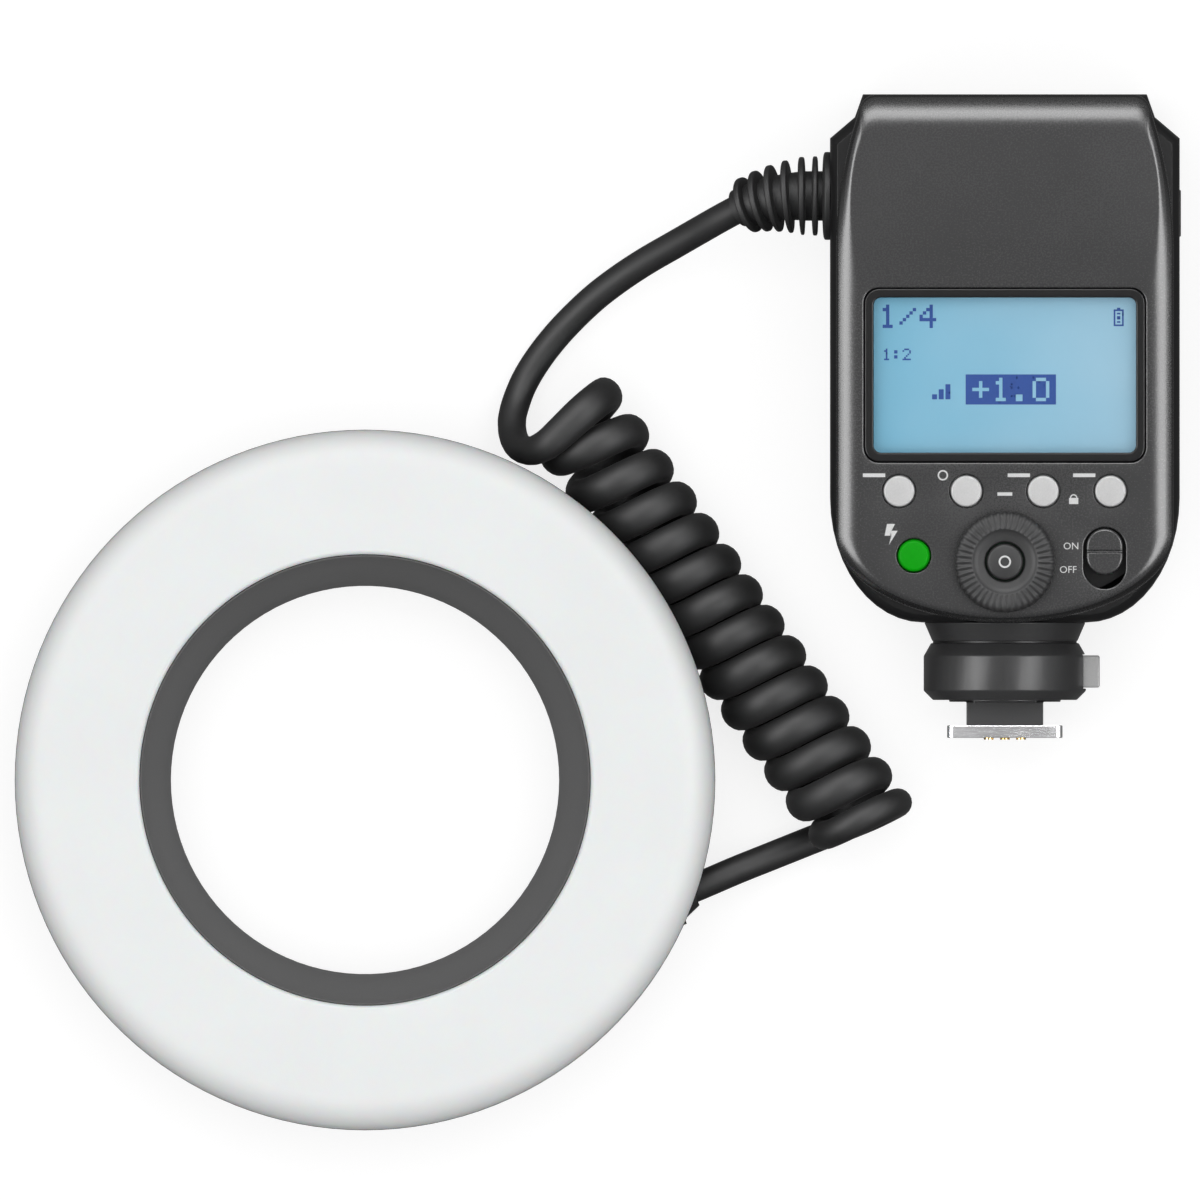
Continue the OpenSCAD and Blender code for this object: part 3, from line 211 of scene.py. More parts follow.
class Finish:
    """One material: its shader's fixed values, and the method that adds every other node."""

    def __init__(self, name, **fixed):
        self.material = bpy.data.materials.new(name)
        self.material.use_nodes = True
        self.tree = self.material.node_tree
        self.shader = self.tree.nodes["Principled BSDF"]
        self.feed(**fixed)

    def feed(self, **sockets):
        """Set or link the shader's sockets, named with underscores."""
        for name, value in sockets.items():
            plug(self.tree, self.shader.inputs[name.replace("_", " ")], value)

    def node(self, kind, settings=None, out=0, **sockets):
        """Any other node: its type, its settings, which are set first, and its sockets."""
        node = self.tree.nodes.new("ShaderNode" + kind)
        for name, value in (settings or {}).items():
            if name == "stops":
                set_stops(node.color_ramp, value)
            else:
                setattr(node, name, value)
        for name, value in sockets.items():
            plug(self.tree, node.inputs[name.replace("_", " ")], value)
        return Wire(self.tree, node.outputs[out])

    def place(self):
        return self.node("TexCoord", out="Object")

    def noise(self, size_mm, detail=2.0, roughness=0.5, place=None):
        """Noise whose grains are about size_mm across."""
        return self.node("TexNoise", out="Fac", Vector=place or self.place(),
                         Scale=1 / (size_mm * MM), Detail=detail, Roughness=roughness)

    def shades(self, amount, low, high):
        """A colour between low and high, by an amount from 0.3 to 0.7, which noise mostly has."""
        return self.node("ValToRGB", {"stops": ((0.3, low), (0.7, high))}, Fac=amount)

    def relief(self, height, depth_mm):
        return self.node("Bump", Height=height, Distance=depth_mm * MM, Strength=1.0)

    def painted(self, tone, colour, low, high, rough, height=None, depth_mm=0.0):
        """The material, with a tone between two tints of a colour, a roughness and perhaps a relief."""
        self.feed(Base_Color=self.shades(tone, tint(colour, low), tint(colour, high)), Roughness=rough)
        if height is not None:
            self.feed(Normal=self.relief(height, depth_mm))
        return self.material


def set_stops(ramp, stops):
    """A ramp with just these stops, each a position and a colour."""
    while len(ramp.elements) < len(stops):
        ramp.elements.new(0.5)
    for element, (position, colour) in zip(ramp.elements, stops):
        element.position = position
        element.color = (*colour[:3], 1.0)


def tint(colour, times):
    return tuple(min(1.0, channel * times) for channel in colour[:3])


def moulded(name, colour, rough, depth_mm=0.012, gloss=0.5, grain_mm=0.25, shaded_skirt=None):
    """Moulded plastic: an eroded grain in the relief, faint flow clouds in colour and gloss. A skirt of
    painted shade is another, darker colour below a height, so that a rolled edge reads as in shade."""
    look = Finish(name, Specular_IOR_Level=gloss)
    clouds = look.noise(18, detail=3)
    grain = look.noise(grain_mm, detail=3, roughness=0.6)
    amount = 0.3 * clouds + 0.7 * grain
    stops = [(0.3, tint(colour, 0.92)), (0.7, tint(colour, 1.08))]
    # painted shade: below the height the colour is the housing's dark one, not the moulding's own
    if shaded_skirt:
        painted_shade_colour, below_mm = shaded_skirt
        height = look.node("SeparateXYZ", out="Z", Vector=look.place())
        amount = amount * (height > below_mm * MM)
        stops.insert(0, (0.0, painted_shade_colour))
    look.feed(Base_Color=look.node("ValToRGB", {"stops": stops}, Fac=amount),
              Roughness=rough - 0.05 + 0.03 * clouds + 0.07 * grain,
              Normal=look.relief(grain, depth_mm))
    return look.material


def frosted(name, colour):
    """Milky cover: a shallow orange-peel frost with a little light carried under the surface."""
    look = Finish(name, Subsurface_Weight=0.25, Subsurface_Scale=0.004, Specular_IOR_Level=0.2)
    frost = look.noise(0.5)
    clouds = look.noise(25)
    return look.painted(clouds, colour, 0.985, 1.01, 0.5 + 0.1 * frost, frost, 0.01)


def rubber(name, colour):
    """Smooth rubber sheath: broad dull patches, fine pores and a soft sheen."""
    look = Finish(name, Sheen_Weight=0.04, Sheen_Roughness=0.4, Specular_IOR_Level=0.32)
    patches = look.noise(7, detail=4)
    pores = look.noise(0.12)
    return look.painted(patches, colour, 0.8, 1.2, 0.45 + 0.16 * patches + 0.06 * pores, pores, 0.008)


def brushed(name, colour, rough, stretch=(1, 14, 14)):
    """Brushed metal: fine scratches drawn out along one direction, in gloss, tone and relief."""
    look = Finish(name, Metallic=1.0)
    lines = look.noise(1.6, detail=4, roughness=0.65,
                       place=look.node("Mapping", Vector=look.place(), Scale=stretch))
    smudge = look.noise(6)
    worn = rough - 0.08 + 0.14 * lines + 0.06 * smudge
    return look.painted(lines, colour, 0.82, 1.1, worn, lines, 0.006)


def laminate(name, colour):
    """Lacquered board: darker green with paler copper runs under the lacquer, on a fine raster."""
    look = Finish(name, Coat_Weight=0.4)
    runs = look.node("TexVoronoi", {"distance": "MANHATTAN", "feature": "F1"}, out="Distance",
                     Vector=look.place(), Scale=420.0)
    weave = look.noise(0.3)
    return look.painted(runs, colour, 0.7, 1.7, 0.3 + 0.15 * weave, runs, 0.03)


def wound(name, colour):
    """Varnished winding: close bands of wire round a core, in tone and relief."""
    look = Finish(name, Coat_Weight=0.3)
    bands = look.node("TexWave", {"bands_direction": "Z"}, out="Fac", Vector=look.place(),
                      Scale=700.0, Distortion=0.6)
    return look.painted(bands, colour, 0.55, 1.2, 0.35 + 0.2 * bands, bands, 0.06)


def clear(name, colour, alpha):
    """Clear cover: thin and colourless, with faint smears in its gloss."""
    look = Finish(name, Alpha=alpha, IOR=1.49)
    smears = look.noise(9, detail=4)
    return look.painted(smears, colour, 0.97, 1.0, 0.03 + 0.06 * smears)


def backlit(name, low, high):
    """Back-lit display: brighter to the right, with the faint raster of its dots."""
    look = Finish(name, Emission_Strength=0.18)
    place = look.node("Mapping", Vector=look.place(),
                      Location=((-UNIT[0] + LCD_W / 2) * MM, (-UNIT[1] - LCD_AT[1]) * MM, 0.0))
    across = look.node("SeparateXYZ", out="X", Vector=place)
    along = look.node("SeparateXYZ", out="Y", Vector=place)
    cloud = look.noise(14)
    raster = ((across * (1 / (DOT * MM))).share() > 0.12) * ((along * (1 / (DOT * MM))).share() > 0.12)
    amount = 0.28 + across * (0.42 / (LCD_W * MM)) + 0.12 * (cloud - 0.5)
    glow = look.shades(amount - 0.03 * (1 - raster), low, high)
    look.feed(Base_Color=glow, Emission_Color=glow, Roughness=0.3 + 0.1 * cloud)
    return look.material


def ink(name, colour):
    """Printed or switched-on mark: an even colour with the slight mottle of the print."""
    look = Finish(name, Specular_IOR_Level=0.1)
    mottle = look.noise(0.15)
    return look.painted(mottle, colour, 0.9, 1.06, 0.5 + 0.1 * mottle)


def light_table(name, colour):
    """Pale floor that glows, as a light table does, so that shadows stay faint."""
    look = Finish(name, Specular_IOR_Level=0.0, Emission_Strength=0.8, Emission_Color=(1, 1, 1, 1))
    mottle = look.noise(40)
    return look.painted(mottle, colour, 0.99, 1.01, 0.9 + 0.1 * mottle)


def tent(name, strength):
    """Light tent: dark below the table, bright low down, darker overhead, where the camera is, and open
    on the near side."""
    world = bpy.data.worlds.new(name)
    world.use_nodes = True
    tree = world.node_tree
    place = tree.nodes.new("ShaderNodeTexCoord")
    parts = tree.nodes.new("ShaderNodeSeparateXYZ")
    ramp = tree.nodes.new("ShaderNodeValToRGB")
    greys = ((0.0, 0.2), (0.04, 0.5), (0.15, 0.62), (0.75, 0.62), (0.92, 0.4), (1.0, 0.3))
    set_stops(ramp.color_ramp, [(position, (grey,) * 3) for position, grey in greys])
    tree.links.new(place.outputs["Generated"], parts.inputs[0])
    tree.links.new(parts.outputs["Z"], ramp.inputs[0])
    tree.links.new(ramp.outputs[0], tree.nodes["Background"].inputs["Color"])
    facing = Wire(tree, parts.outputs["Y"])
    level = (facing * 0.5 + 1.0).math("MINIMUM", 1.0)
    plug(tree, tree.nodes["Background"].inputs["Strength"], level * strength)
    return world


def finish_of(slot):
    """The finish of a material slot, made when it is first asked for. A moulded one has a colour, a
    roughness, the depth of its grain and a gloss."""
    name = "finish_" + slot
    if name in bpy.data.materials:
        return bpy.data.materials[name]
    scene = bpy.context.scene
    head, unit, cord = scene.ring_head_look, scene.control_unit_look, scene.curly_cord_look
    finishes = {
        "shell_black": (moulded, unit.shell_colour, 0.4, 0.012, 0.22),
        # painted shade: below a height the face, and the slider knob that shares this finish, take the
        # housing's colour so the rolled edge reads dark
        "panel_grey": (moulded, unit.panel_colour, 0.27, 0.006, 0.5, 0.3, (unit.shell_colour, PAINTED_SHADE_Z)),
        "dial_grey": (moulded, tint(unit.panel_colour, 0.85), 0.45, 0.006, 0.2),
        "foot_grey": (moulded, tint(unit.panel_colour, 1.05), 0.36, 0.006, 0.28),
        "latch_black": (moulded, (0.02, 0.02, 0.0205), 0.4, 0.006, 0.2),
        "bezel_black": (moulded, unit.bezel_colour, 0.3, 0.004, 0.22),
        "test_green": (moulded, unit.test_colour, 0.4, 0.003, 0.04),
        "key_grey": (moulded, unit.key_colour, 0.42, 0.006),
        "sleeve_navy": (moulded, (0.02, 0.03, 0.08), 0.25, 0.004),
        "cone_grey": (moulded, head.cone_colour, 0.4),
        "tab_grey": (moulded, (0.4, 0.4, 0.4), 0.4),
        "diffuser_white": (frosted, head.diffuser_colour),
        "cord_rubber": (rubber, cord.sheath_colour),
        "holder_rubber": (rubber, (0.5, 0.5, 0.48)),
        "reflector_bright": (brushed, (0.86, 0.86, 0.87), 0.18, (14, 14, 1)),
        "spring_steel": (brushed, (0.62, 0.62, 0.64), 0.26),
        "screw_dark": (brushed, (0.12, 0.12, 0.125), 0.36),
        "contact_gold": (brushed, (0.8, 0.58, 0.24), 0.22),
        "foot_silver": (brushed, (0.8, 0.8, 0.81), 0.22),
        "tube_glass": (clear, (0.92, 0.95, 0.97), 0.35),
        "window_clear": (clear, (0.9, 0.95, 0.97), 0.012),
        "board_green": (laminate, (0.02, 0.12, 0.05)),
        "winding_brown": (wound, (0.28, 0.14, 0.04)),
        "display_blue": (backlit, unit.display_low, unit.display_high),
        "display_ink": (ink, unit.ink_colour),
        "legend_white": (ink, unit.legend_colour),
    }
    maker, *values = finishes[slot]
    return maker(name, *values)


def skin(points, closed_rows=False, closed_cols=True):
    """A patch: a grid of points as one list, with a quad from each point to its next ones along and
    across, wrapped where closed."""
    rows, cols = points.shape[:2]
    row = np.arange(rows if closed_rows else rows - 1)[:, None]
    col = np.arange(cols if closed_cols else cols - 1)[None, :]
    up, right = (row + 1) % rows, (col + 1) % cols
    corners = np.broadcast_arrays(row * cols + col, row * cols + right, up * cols + right, up * cols + col)
    return points.reshape(-1, 3), np.stack(corners, axis=-1).reshape(-1, 4)


def made(name, patches, sharp_deg=38):
    """One object from patches in millimetres: welded, turned outwards, smooth but for sharp edges."""
    counts = np.cumsum([0] + [len(points) for points, _ in patches])
    points = np.vstack([points for points, _ in patches]) * MM
    faces = [face for start, (_, quads) in zip(counts, patches) for face in (quads + start).tolist()]
    mesh = bpy.data.meshes.new(name)
    mesh.from_pydata(points.tolist(), [], faces)
    work = bmesh.new()
    work.from_mesh(mesh)
    bmesh.ops.remove_doubles(work, verts=work.verts, dist=WELD)
    bmesh.ops.dissolve_degenerate(work, edges=work.edges, dist=1e-7)
    bmesh.ops.recalc_face_normals(work, faces=work.faces)
    work.to_mesh(mesh)
    work.free()
    return smooth(shown(name, mesh), sharp_deg)


def shown(name, data):
    piece = bpy.data.objects.new(name, data)
    bpy.context.scene.collection.objects.link(piece)
    return piece


def smooth(piece, sharp_deg):
    piece.data.shade_smooth()
    piece.data.set_sharp_from_angle(angle=math.radians(sharp_deg))
    return piece


def dressed(piece, slot, body="frame", nodes=()):
    """Give a piece its finish and its body, and let it stand for the nodes that it replaces."""
    piece.data.materials.clear()
    piece.data.materials.append(finish_of(slot))
    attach(piece, body)
    if nodes:
        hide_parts(*nodes)
    return piece


def eased_copy(node, slot, body="frame", width_mm=0.25, sharp_deg=32):
    """A node's own shape with its edges eased: its triangles merged, then its sharp edges rounded."""
    mesh = frame["nodes"][node].data.copy()
    work = bmesh.new()
    work.from_mesh(mesh)
    bmesh.ops.remove_doubles(work, verts=work.verts, dist=WELD)
    bmesh.ops.dissolve_limit(work, angle_limit=math.radians(0.5), verts=work.verts, edges=work.edges)
    work.to_mesh(mesh)
    work.free()
    mesh.name = node + "_eased"
    piece = smooth(shown(node + "_eased", mesh), sharp_deg)
    easing = piece.modifiers.new("eased_edges", "BEVEL")
    easing.width = width_mm * MM
    easing.segments = 3
    easing.limit_method = "ANGLE"
    easing.angle_limit = math.radians(sharp_deg)
    easing.harden_normals = True
    return dressed(piece, slot, body, [node])


def unit_rows(rows):
    """Each row of an array at the length of one."""
    return rows / np.linalg.norm(rows, axis=1, keepdims=True)


def eased(corners, radii, steps=6):
    """A closed profile with rounded corners: each corner gives way to the arc of its radius that
    touches both its sides, worked out as a blend of the arc's two end spokes."""
    corners = np.asarray(corners, float)
    radii = np.asarray(radii, float)[:, None]
    back = unit_rows(np.roll(corners, 1, axis=0) - corners)
    ahead = unit_rows(np.roll(corners, -1, axis=0) - corners)
    half = np.arccos(np.clip((back * ahead).sum(1, keepdims=True), -1, 1)) / 2
    middle = corners + (back + ahead) / (2 * np.cos(half)) * radii / np.sin(half)
    first = corners + back * radii / np.tan(half) - middle
    last = corners + ahead * radii / np.tan(half) - middle
    sweep = (np.pi - 2 * half)[:, None]
    t = np.linspace(0, 1, steps)[None, :, None]
    arc = np.sin((1 - t) * sweep) * first[:, None] + np.sin(t * sweep) * last[:, None]
    return (middle[:, None] + arc / np.sin(sweep)).reshape(-1, 2)


def full_turn(steps):
    return np.linspace(0, 2 * np.pi, steps, endpoint=False)


def turned(radius, height, at, steps, closed=True):
    """Rows of one radius and height each, or of one for each step, carried round an upright axis."""
    angle = full_turn(steps)
    points = np.stack([at[0] + radius * np.cos(angle), at[1] + radius * np.sin(angle),
                       height + 0 * angle], axis=-1)
    return skin(points, closed_rows=closed)


def spun(profile, at=(0.0, 0.0), steps=192, closed=True):
    """Surface of revolution from a closed or open profile of radius and height."""
    return turned(profile[:, :1], profile[:, 1:], at, steps, closed)


def on_unit(local):
    """A place on the control unit, from the middle of its lower edge, in the part's frame."""
    return np.asarray(local, float) + UNIT


def circle(at, radius, steps=64):
    angle = full_turn(steps)
    return np.asarray(at) + radius * np.stack([np.cos(angle), np.sin(angle)], axis=-1)


def stadium(at, width, length, steps=64):
    """A circle drawn apart along Y: the upper half moves up and the lower half down."""
    loop = circle((0.0, 0.0), width / 2, steps)
    loop = np.vstack([loop[:steps // 2 + 1], loop[steps // 2:], loop[:1]])
    lift = np.where(np.arange(len(loop)) <= steps // 2, 1, -1)
    lift[-1] = -1
    return np.asarray(at) + loop + np.stack([0 * lift, lift * (length - width) / 2], axis=-1)


def soft_square(at, width, length, radius, steps=8):
    w, l = width / 2, length / 2
    return np.asarray(at) + eased([[w, -l], [w, l], [-w, l], [-w, -l]], [radius] * 4, steps)


def directions(loop):
    """The way that a closed loop runs at each point, from its two neighbours."""
    return unit_rows(np.roll(loop, -1, axis=0) - np.roll(loop, 1, axis=0))


def grown(loop, by):
    """A convex loop pushed out along its own normals."""
    along = directions(loop)
    return loop + by * np.stack([along[:, 1], -along[:, 0]], axis=-1)


def at_height(loop, z):
    return np.column_stack([loop, np.broadcast_to(z, len(loop))])


def plate(loop, low, top):
    """An outline with upright sides, closed above and below by fans to its middle."""
    middle = np.broadcast_to(loop.mean(axis=0), loop.shape)
    return skin(np.stack([at_height(middle, low), at_height(loop, low), at_height(loop, top),
                          at_height(middle, top)]))


def holed_face(outer, holes, z):
    """A flat face with holes: triangles between the loops, less those inside a hole."""
    loops = [outer, *holes]
    starts = np.cumsum([0] + [len(loop) for loop in loops])
    edges = np.vstack([start + np.stack([np.arange(len(loop)), np.roll(np.arange(len(loop)), -1)], axis=-1)
                       for start, loop in zip(starts, loops)])
    flat = np.vstack(loops)
    points, _, faces, *_ = delaunay_2d_cdt([Vector(p) for p in flat], edges.tolist(), [], 1, 1e-6)
    points = np.array([tuple(p) for p in points])
    faces = np.array(faces)
    middles = points[faces].mean(axis=1)
    keep = ~np.any([inside(middles, hole) for hole in holes], axis=0)
    return at_height(points, z), faces[keep]


def inside(points, loop):
    """Which points lie inside a convex loop: to the left of each of its sides."""
    side = np.roll(loop, -1, axis=0) - loop
    away = points[:, None] - loop[None]
    return (side[None, :, 0] * away[..., 1] - side[None, :, 1] * away[..., 0] >= -1e-9).all(axis=1)


def joined(start, route, end, first, last, steps=8):
    """A smooth line through points: each stretch is a cubic that leaves and enters along the
    directions between its neighbours, and the ends leave along the given directions."""
    points = np.vstack([start, route, end])
    spans = np.linalg.norm(np.diff(points, axis=0), axis=1)
    pull = (points[2:] - points[:-2]) / (spans[1:] + spans[:-1])[:, None]
    pull = np.vstack([first, pull, last])
    t = np.linspace(0, 1, steps, endpoint=False)[None, :, None]
    a, b = points[:-1, None], points[1:, None]
    va, vb = pull[:-1, None] * spans[:, None, None], pull[1:, None] * spans[:, None, None]
    line = ((2 * t ** 3 - 3 * t ** 2 + 1) * a + (t ** 3 - 2 * t ** 2 + t) * va
            + (3 * t ** 2 - 2 * t ** 3) * b + (t ** 3 - t ** 2) * vb)
    return line.reshape(-1, 3)


def eased_step(x):
    q = np.clip(x, 0, 1)
    return q * q * (3 - 2 * q)


def curl_point(u):
    """The curls' centre line by turns: a circle across the cord's axis, carried along it, opening at
    the start, with the first curl and the last ones lifted over the cord's own ends."""
    along = (COIL_FROM + COIL_PITCH * u + OPEN_BY * (1 - np.exp(-u / OPEN_OVER))
             + ENTRY_PULL * np.maximum(0, ENTRY_TURN - u) ** 2
             - EXIT_PULL * np.maximum(0, u - EXIT_TURN) ** 2)
    height = (CURL_R + CORD_R + COIL_CLEAR + FIRST_LIFT * eased_step((FIRST_END - u) / FIRST_OVER)
              + LAST_LIFT * eased_step((u - LAST_START) / LAST_OVER))
    drop = np.where(u > CURLS, height - CORD_R - COIL_CLEAR, CURL_R)
    turn = 2 * np.pi * u
    return ((COIL_AWAY + CURL_R * np.cos(turn))[:, None] * AXIS_SIDE + along[:, None] * AXIS_DIR
            + np.column_stack([0 * u, 0 * u, height - drop * np.sin(turn)]))


def cord_line():
    """The whole centre line, from the strain relief, down to the table, through the curls, to the gland,
    and how much wider than high its section is at each point: the curls are moulded flat."""
    turns = np.arange(-0.25, CURLS + 0.2501, 1 / 40)
    curls = curl_point(turns)
    ends = curl_point(np.array([-0.252, -0.248, CURLS + 0.248, CURLS + 0.252]))
    enter, leave = unit_rows(ends[1::2] - ends[::2])
    coil_start, coil_end = curls[0] - 2 * CORD_R * enter, curls[-1] + 2 * CORD_R * leave
    boot_end, boot_way = boot_frame(np.array([BOOT_START + BOOT_LEN]))
    upper = joined(boot_end - TUCK_UPPER * boot_way, np.vstack([boot_end, UPPER_ROUTE]), coil_start,
                   boot_way, enter)
    lower = joined(coil_end, LOWER_ROUTE, GLAND_TIP, leave, -GLAND_DIR)
    line = np.vstack([upper, coil_start, curls, lower, GLAND_TIP - TUCK_LOWER * GLAND_DIR])
    way = np.concatenate([[0], np.cumsum(np.linalg.norm(np.diff(line, axis=0), axis=1))])
    first, last = way[len(upper) + 1], way[len(upper) + len(curls)]
    flat = (eased_step((way - first + FLAT_IN) / FLAT_IN_OVER)
            * eased_step((last - way - FLAT_OUT) / FLAT_OUT_OVER))
    return line, 1 + CURL_FLAT * flat


def swept(line, radius, tangents, reference, sides, width=1.0):
    """A round section of the given radius at each point of a line, set out from one direction that
    the line never runs along, and widened along it, with both ends closed."""
    side = unit_rows(reference - (tangents @ reference)[:, None] * tangents)
    up = np.cross(tangents, side)
    angle = full_turn(sides)[None, :, None]
    side *= np.reshape(width, (-1, 1))
    spokes = np.cos(angle) * side[:, None] + np.sin(angle) * up[:, None]
    rings = line[:, None] + radius[:, None, None] * spokes
    caps = [np.repeat(end[None, None], sides, axis=1) for end in (line[0], line[-1])]
    return skin(np.concatenate([caps[0], rings, caps[1]]))


def boot_frame(d):
    """Points and directions along the strain relief: straight out, then round a bend that sags."""
    turn = BOOT_BEND * np.maximum(0, d - BOOT_START) / BOOT_LEN
    point = (BOOT_AT + np.minimum(d, BOOT_START)[:, None] * BOOT_OUT
             + BOOT_BEND_R * (np.sin(turn)[:, None] * BOOT_OUT + (1 - np.cos(turn))[:, None] * BOOT_SAG))
    return point, np.cos(turn)[:, None] * BOOT_OUT + np.sin(turn)[:, None] * BOOT_SAG


def panel_outline():
    """The face panel's outline: half an ellipse below, upright sides that bow in, eased upper corners."""
    angle = np.linspace(-np.pi / 2, 0, 61)
    low = np.column_stack([HALF_PANEL * np.cos(angle), PANEL_RY + PANEL_RY * np.sin(angle)])
    rise = np.column_stack([np.full(16, HALF_PANEL), np.linspace(PANEL_RY, PANEL_STRAIGHT, 18)[1:-1]])
    q = np.linspace(0, 0.94, 30)
    bow = np.column_stack([HALF_PANEL - PANEL_TAPER * q * q,
                           PANEL_STRAIGHT + (UNIT_L - CROWN_DROP - PANEL_STRAIGHT) * q])
    t = np.linspace(0, 1, 12)[1:, None]
    corner = ((1 - t) ** 2 * bow[-1] + 2 * t * (1 - t) * np.array([CROWN_CORNER, UNIT_L])
              + t ** 2 * np.array([CROWN_HALF, UNIT_L]))
    top = np.column_stack([np.linspace(CROWN_HALF, 0, 12)[1:], np.full(11, UNIT_L)])
    right = np.vstack([low, rise, bow, corner, top])
    return np.vstack([right, (right * (-1, 1))[-2:0:-1]])


def drawn_in(outline, side, bottom, top):
    """An outline drawn in at its sides, by one amount or by one for each point, and at bottom and top."""
    return np.column_stack([outline[:, 0] * (HALF_PANEL - side) / HALF_PANEL,
                            bottom + outline[:, 1] * (UNIT_L - bottom - top) / UNIT_L])


def colour_of(name, description, default):
    return FloatVectorProperty(name=name, description=description, default=default, subtype="COLOR",
                               min=0, max=1)


def number_of(name, description, default, unit="LENGTH"):
    return FloatProperty(name=name, description=description, default=default, unit=unit)


class CurlyCordLook(bpy.types.PropertyGroup):
    """Sizes and colour of the curly cord."""
    diameter: number_of("Diameter", "Thickness of the cord", 0.0046)
    sides: IntProperty(name="Sides", description="Sides of the cord's section", default=20, min=8)
    sheath_colour: colour_of("Sheath", "Colour of the cord's sheath", (0.013, 0.013, 0.0135))


class RingHeadLook(bpy.types.PropertyGroup):
    """Sizes and colours of the ring head."""
    edge_radius: number_of("Edge radius", "Radius of the cover's outer edge", 0.005)
    diffuser_colour: colour_of("Cover", "Colour of the milky cover", (0.87, 0.87, 0.87))
    cone_colour: colour_of("Cone", "Colour of the cone round the bore", (0.15, 0.15, 0.151))


class ControlUnitLook(bpy.types.PropertyGroup):
    """Sizes and colours of the control unit."""
    lip_radius: number_of("Lip radius", "Rounding at the rim of each opening in the face", 0.00025)
    dial_ribs: IntProperty(name="Dial ribs", description="Ribs round the dial", default=44, min=12)
    shell_colour: colour_of("Housing", "Colour of the housing", (0.011, 0.011, 0.0115))
    panel_colour: colour_of("Face", "Colour of the raised face", (0.037, 0.037, 0.038))
    bezel_colour: colour_of("Display frame", "Colour of the frame round the display", (0.01, 0.01, 0.0105))
    display_low: colour_of("Display, left", "Display's colour at its left edge", (0.115, 0.38, 0.545))
    display_high: colour_of("Display, right", "Display's colour at its right edge", (0.255, 0.465, 0.6))
    ink_colour: colour_of("Display dots", "Colour of the dots that are on", (0.02, 0.075, 0.33))
    legend_colour: colour_of("Legends", "Colour of the printed marks", (0.7, 0.7, 0.7))
    key_colour: colour_of("Keys", "Colour of the four keys", (0.53, 0.53, 0.53))
    test_colour: colour_of("Test button", "Colour of the test button", (0.002, 0.36, 0.003))


class StageLook(bpy.types.PropertyGroup):
    """The stage's light, floor and camera."""
    floor_colour: colour_of("Floor", "Colour of the floor", (0.3, 0.3, 0.3))
    sky: number_of("Tent", "Strength of the even light from all round", 1.0, "NONE")
    roof_power: number_of("Roof", "Power of the soft light overhead", 4.0, "POWER")
    wall_power: number_of("Walls", "Power of each bright wall beside the object", 14.0, "POWER")
    view_width: number_of("View width", "Width of the photographed field", 0.19355)


class RINGFLASH_OT_stage(bpy.types.Operator):
    """Camera straight above, pale floor, light tent and bright walls round the object"""
    bl_idname = "ringflash.stage"
    bl_label = "Stage"

    def execute(self, context):
        look = context.scene.stage_look
        scene = context.scene
        scene.view_settings.view_transform = "Standard"
        camera = shown("camera", bpy.data.cameras.new("camera"))
        camera.data.type = "ORTHO"
        camera.data.ortho_scale = look.view_width
        camera.location = (*VIEW_MIDDLE, CAMERA_Z)
        scene.camera = camera
        corners = np.array([[[-1, -1, 0], [1, -1, 0]], [[-1, 1, 0], [1, 1, 0]]]) * FLOOR_HALF
        floor = made("floor", [skin(corners - np.array([0, 0, FLOOR_DROP]), closed_cols=False)])
        floor.data.flip_normals()
        floor.data.materials.append(light_table("floor_card", look.floor_colour))
        floor.visible_diffuse = False
        floor.visible_glossy = False
        scene.world = tent("tent", look.sky)
        roof = self.lamp("roof", (ROOF_SIZE, ROOF_SIZE), look.roof_power, (*VIEW_MIDDLE, ROOF_Z))
        roof.visible_glossy = False
        for name, way in (("left", (-1, 0)), ("right", (1, 0)), ("far", (0, 1))):
            at = VIEW_MIDDLE + WALL_AWAY * np.array(way)
            wall = self.lamp("wall_" + name, (WALL_W, WALL_H), look.wall_power, (*at, WALL_Z))
            wall.rotation_euler = Vector((*way, 0)).to_track_quat("Z", "Y").to_euler()
            wall.visible_diffuse = False
        return {"FINISHED"}

    def lamp(self, name, size, power, at):
        """A flat light that the camera doesn't see."""
        lamp = shown(name, bpy.data.lights.new(name, "AREA"))
        lamp.data.shape = "RECTANGLE"
        lamp.data.size, lamp.data.size_y = size
        lamp.data.energy = power
        lamp.location = at
        lamp.visible_camera = False
        return lamp


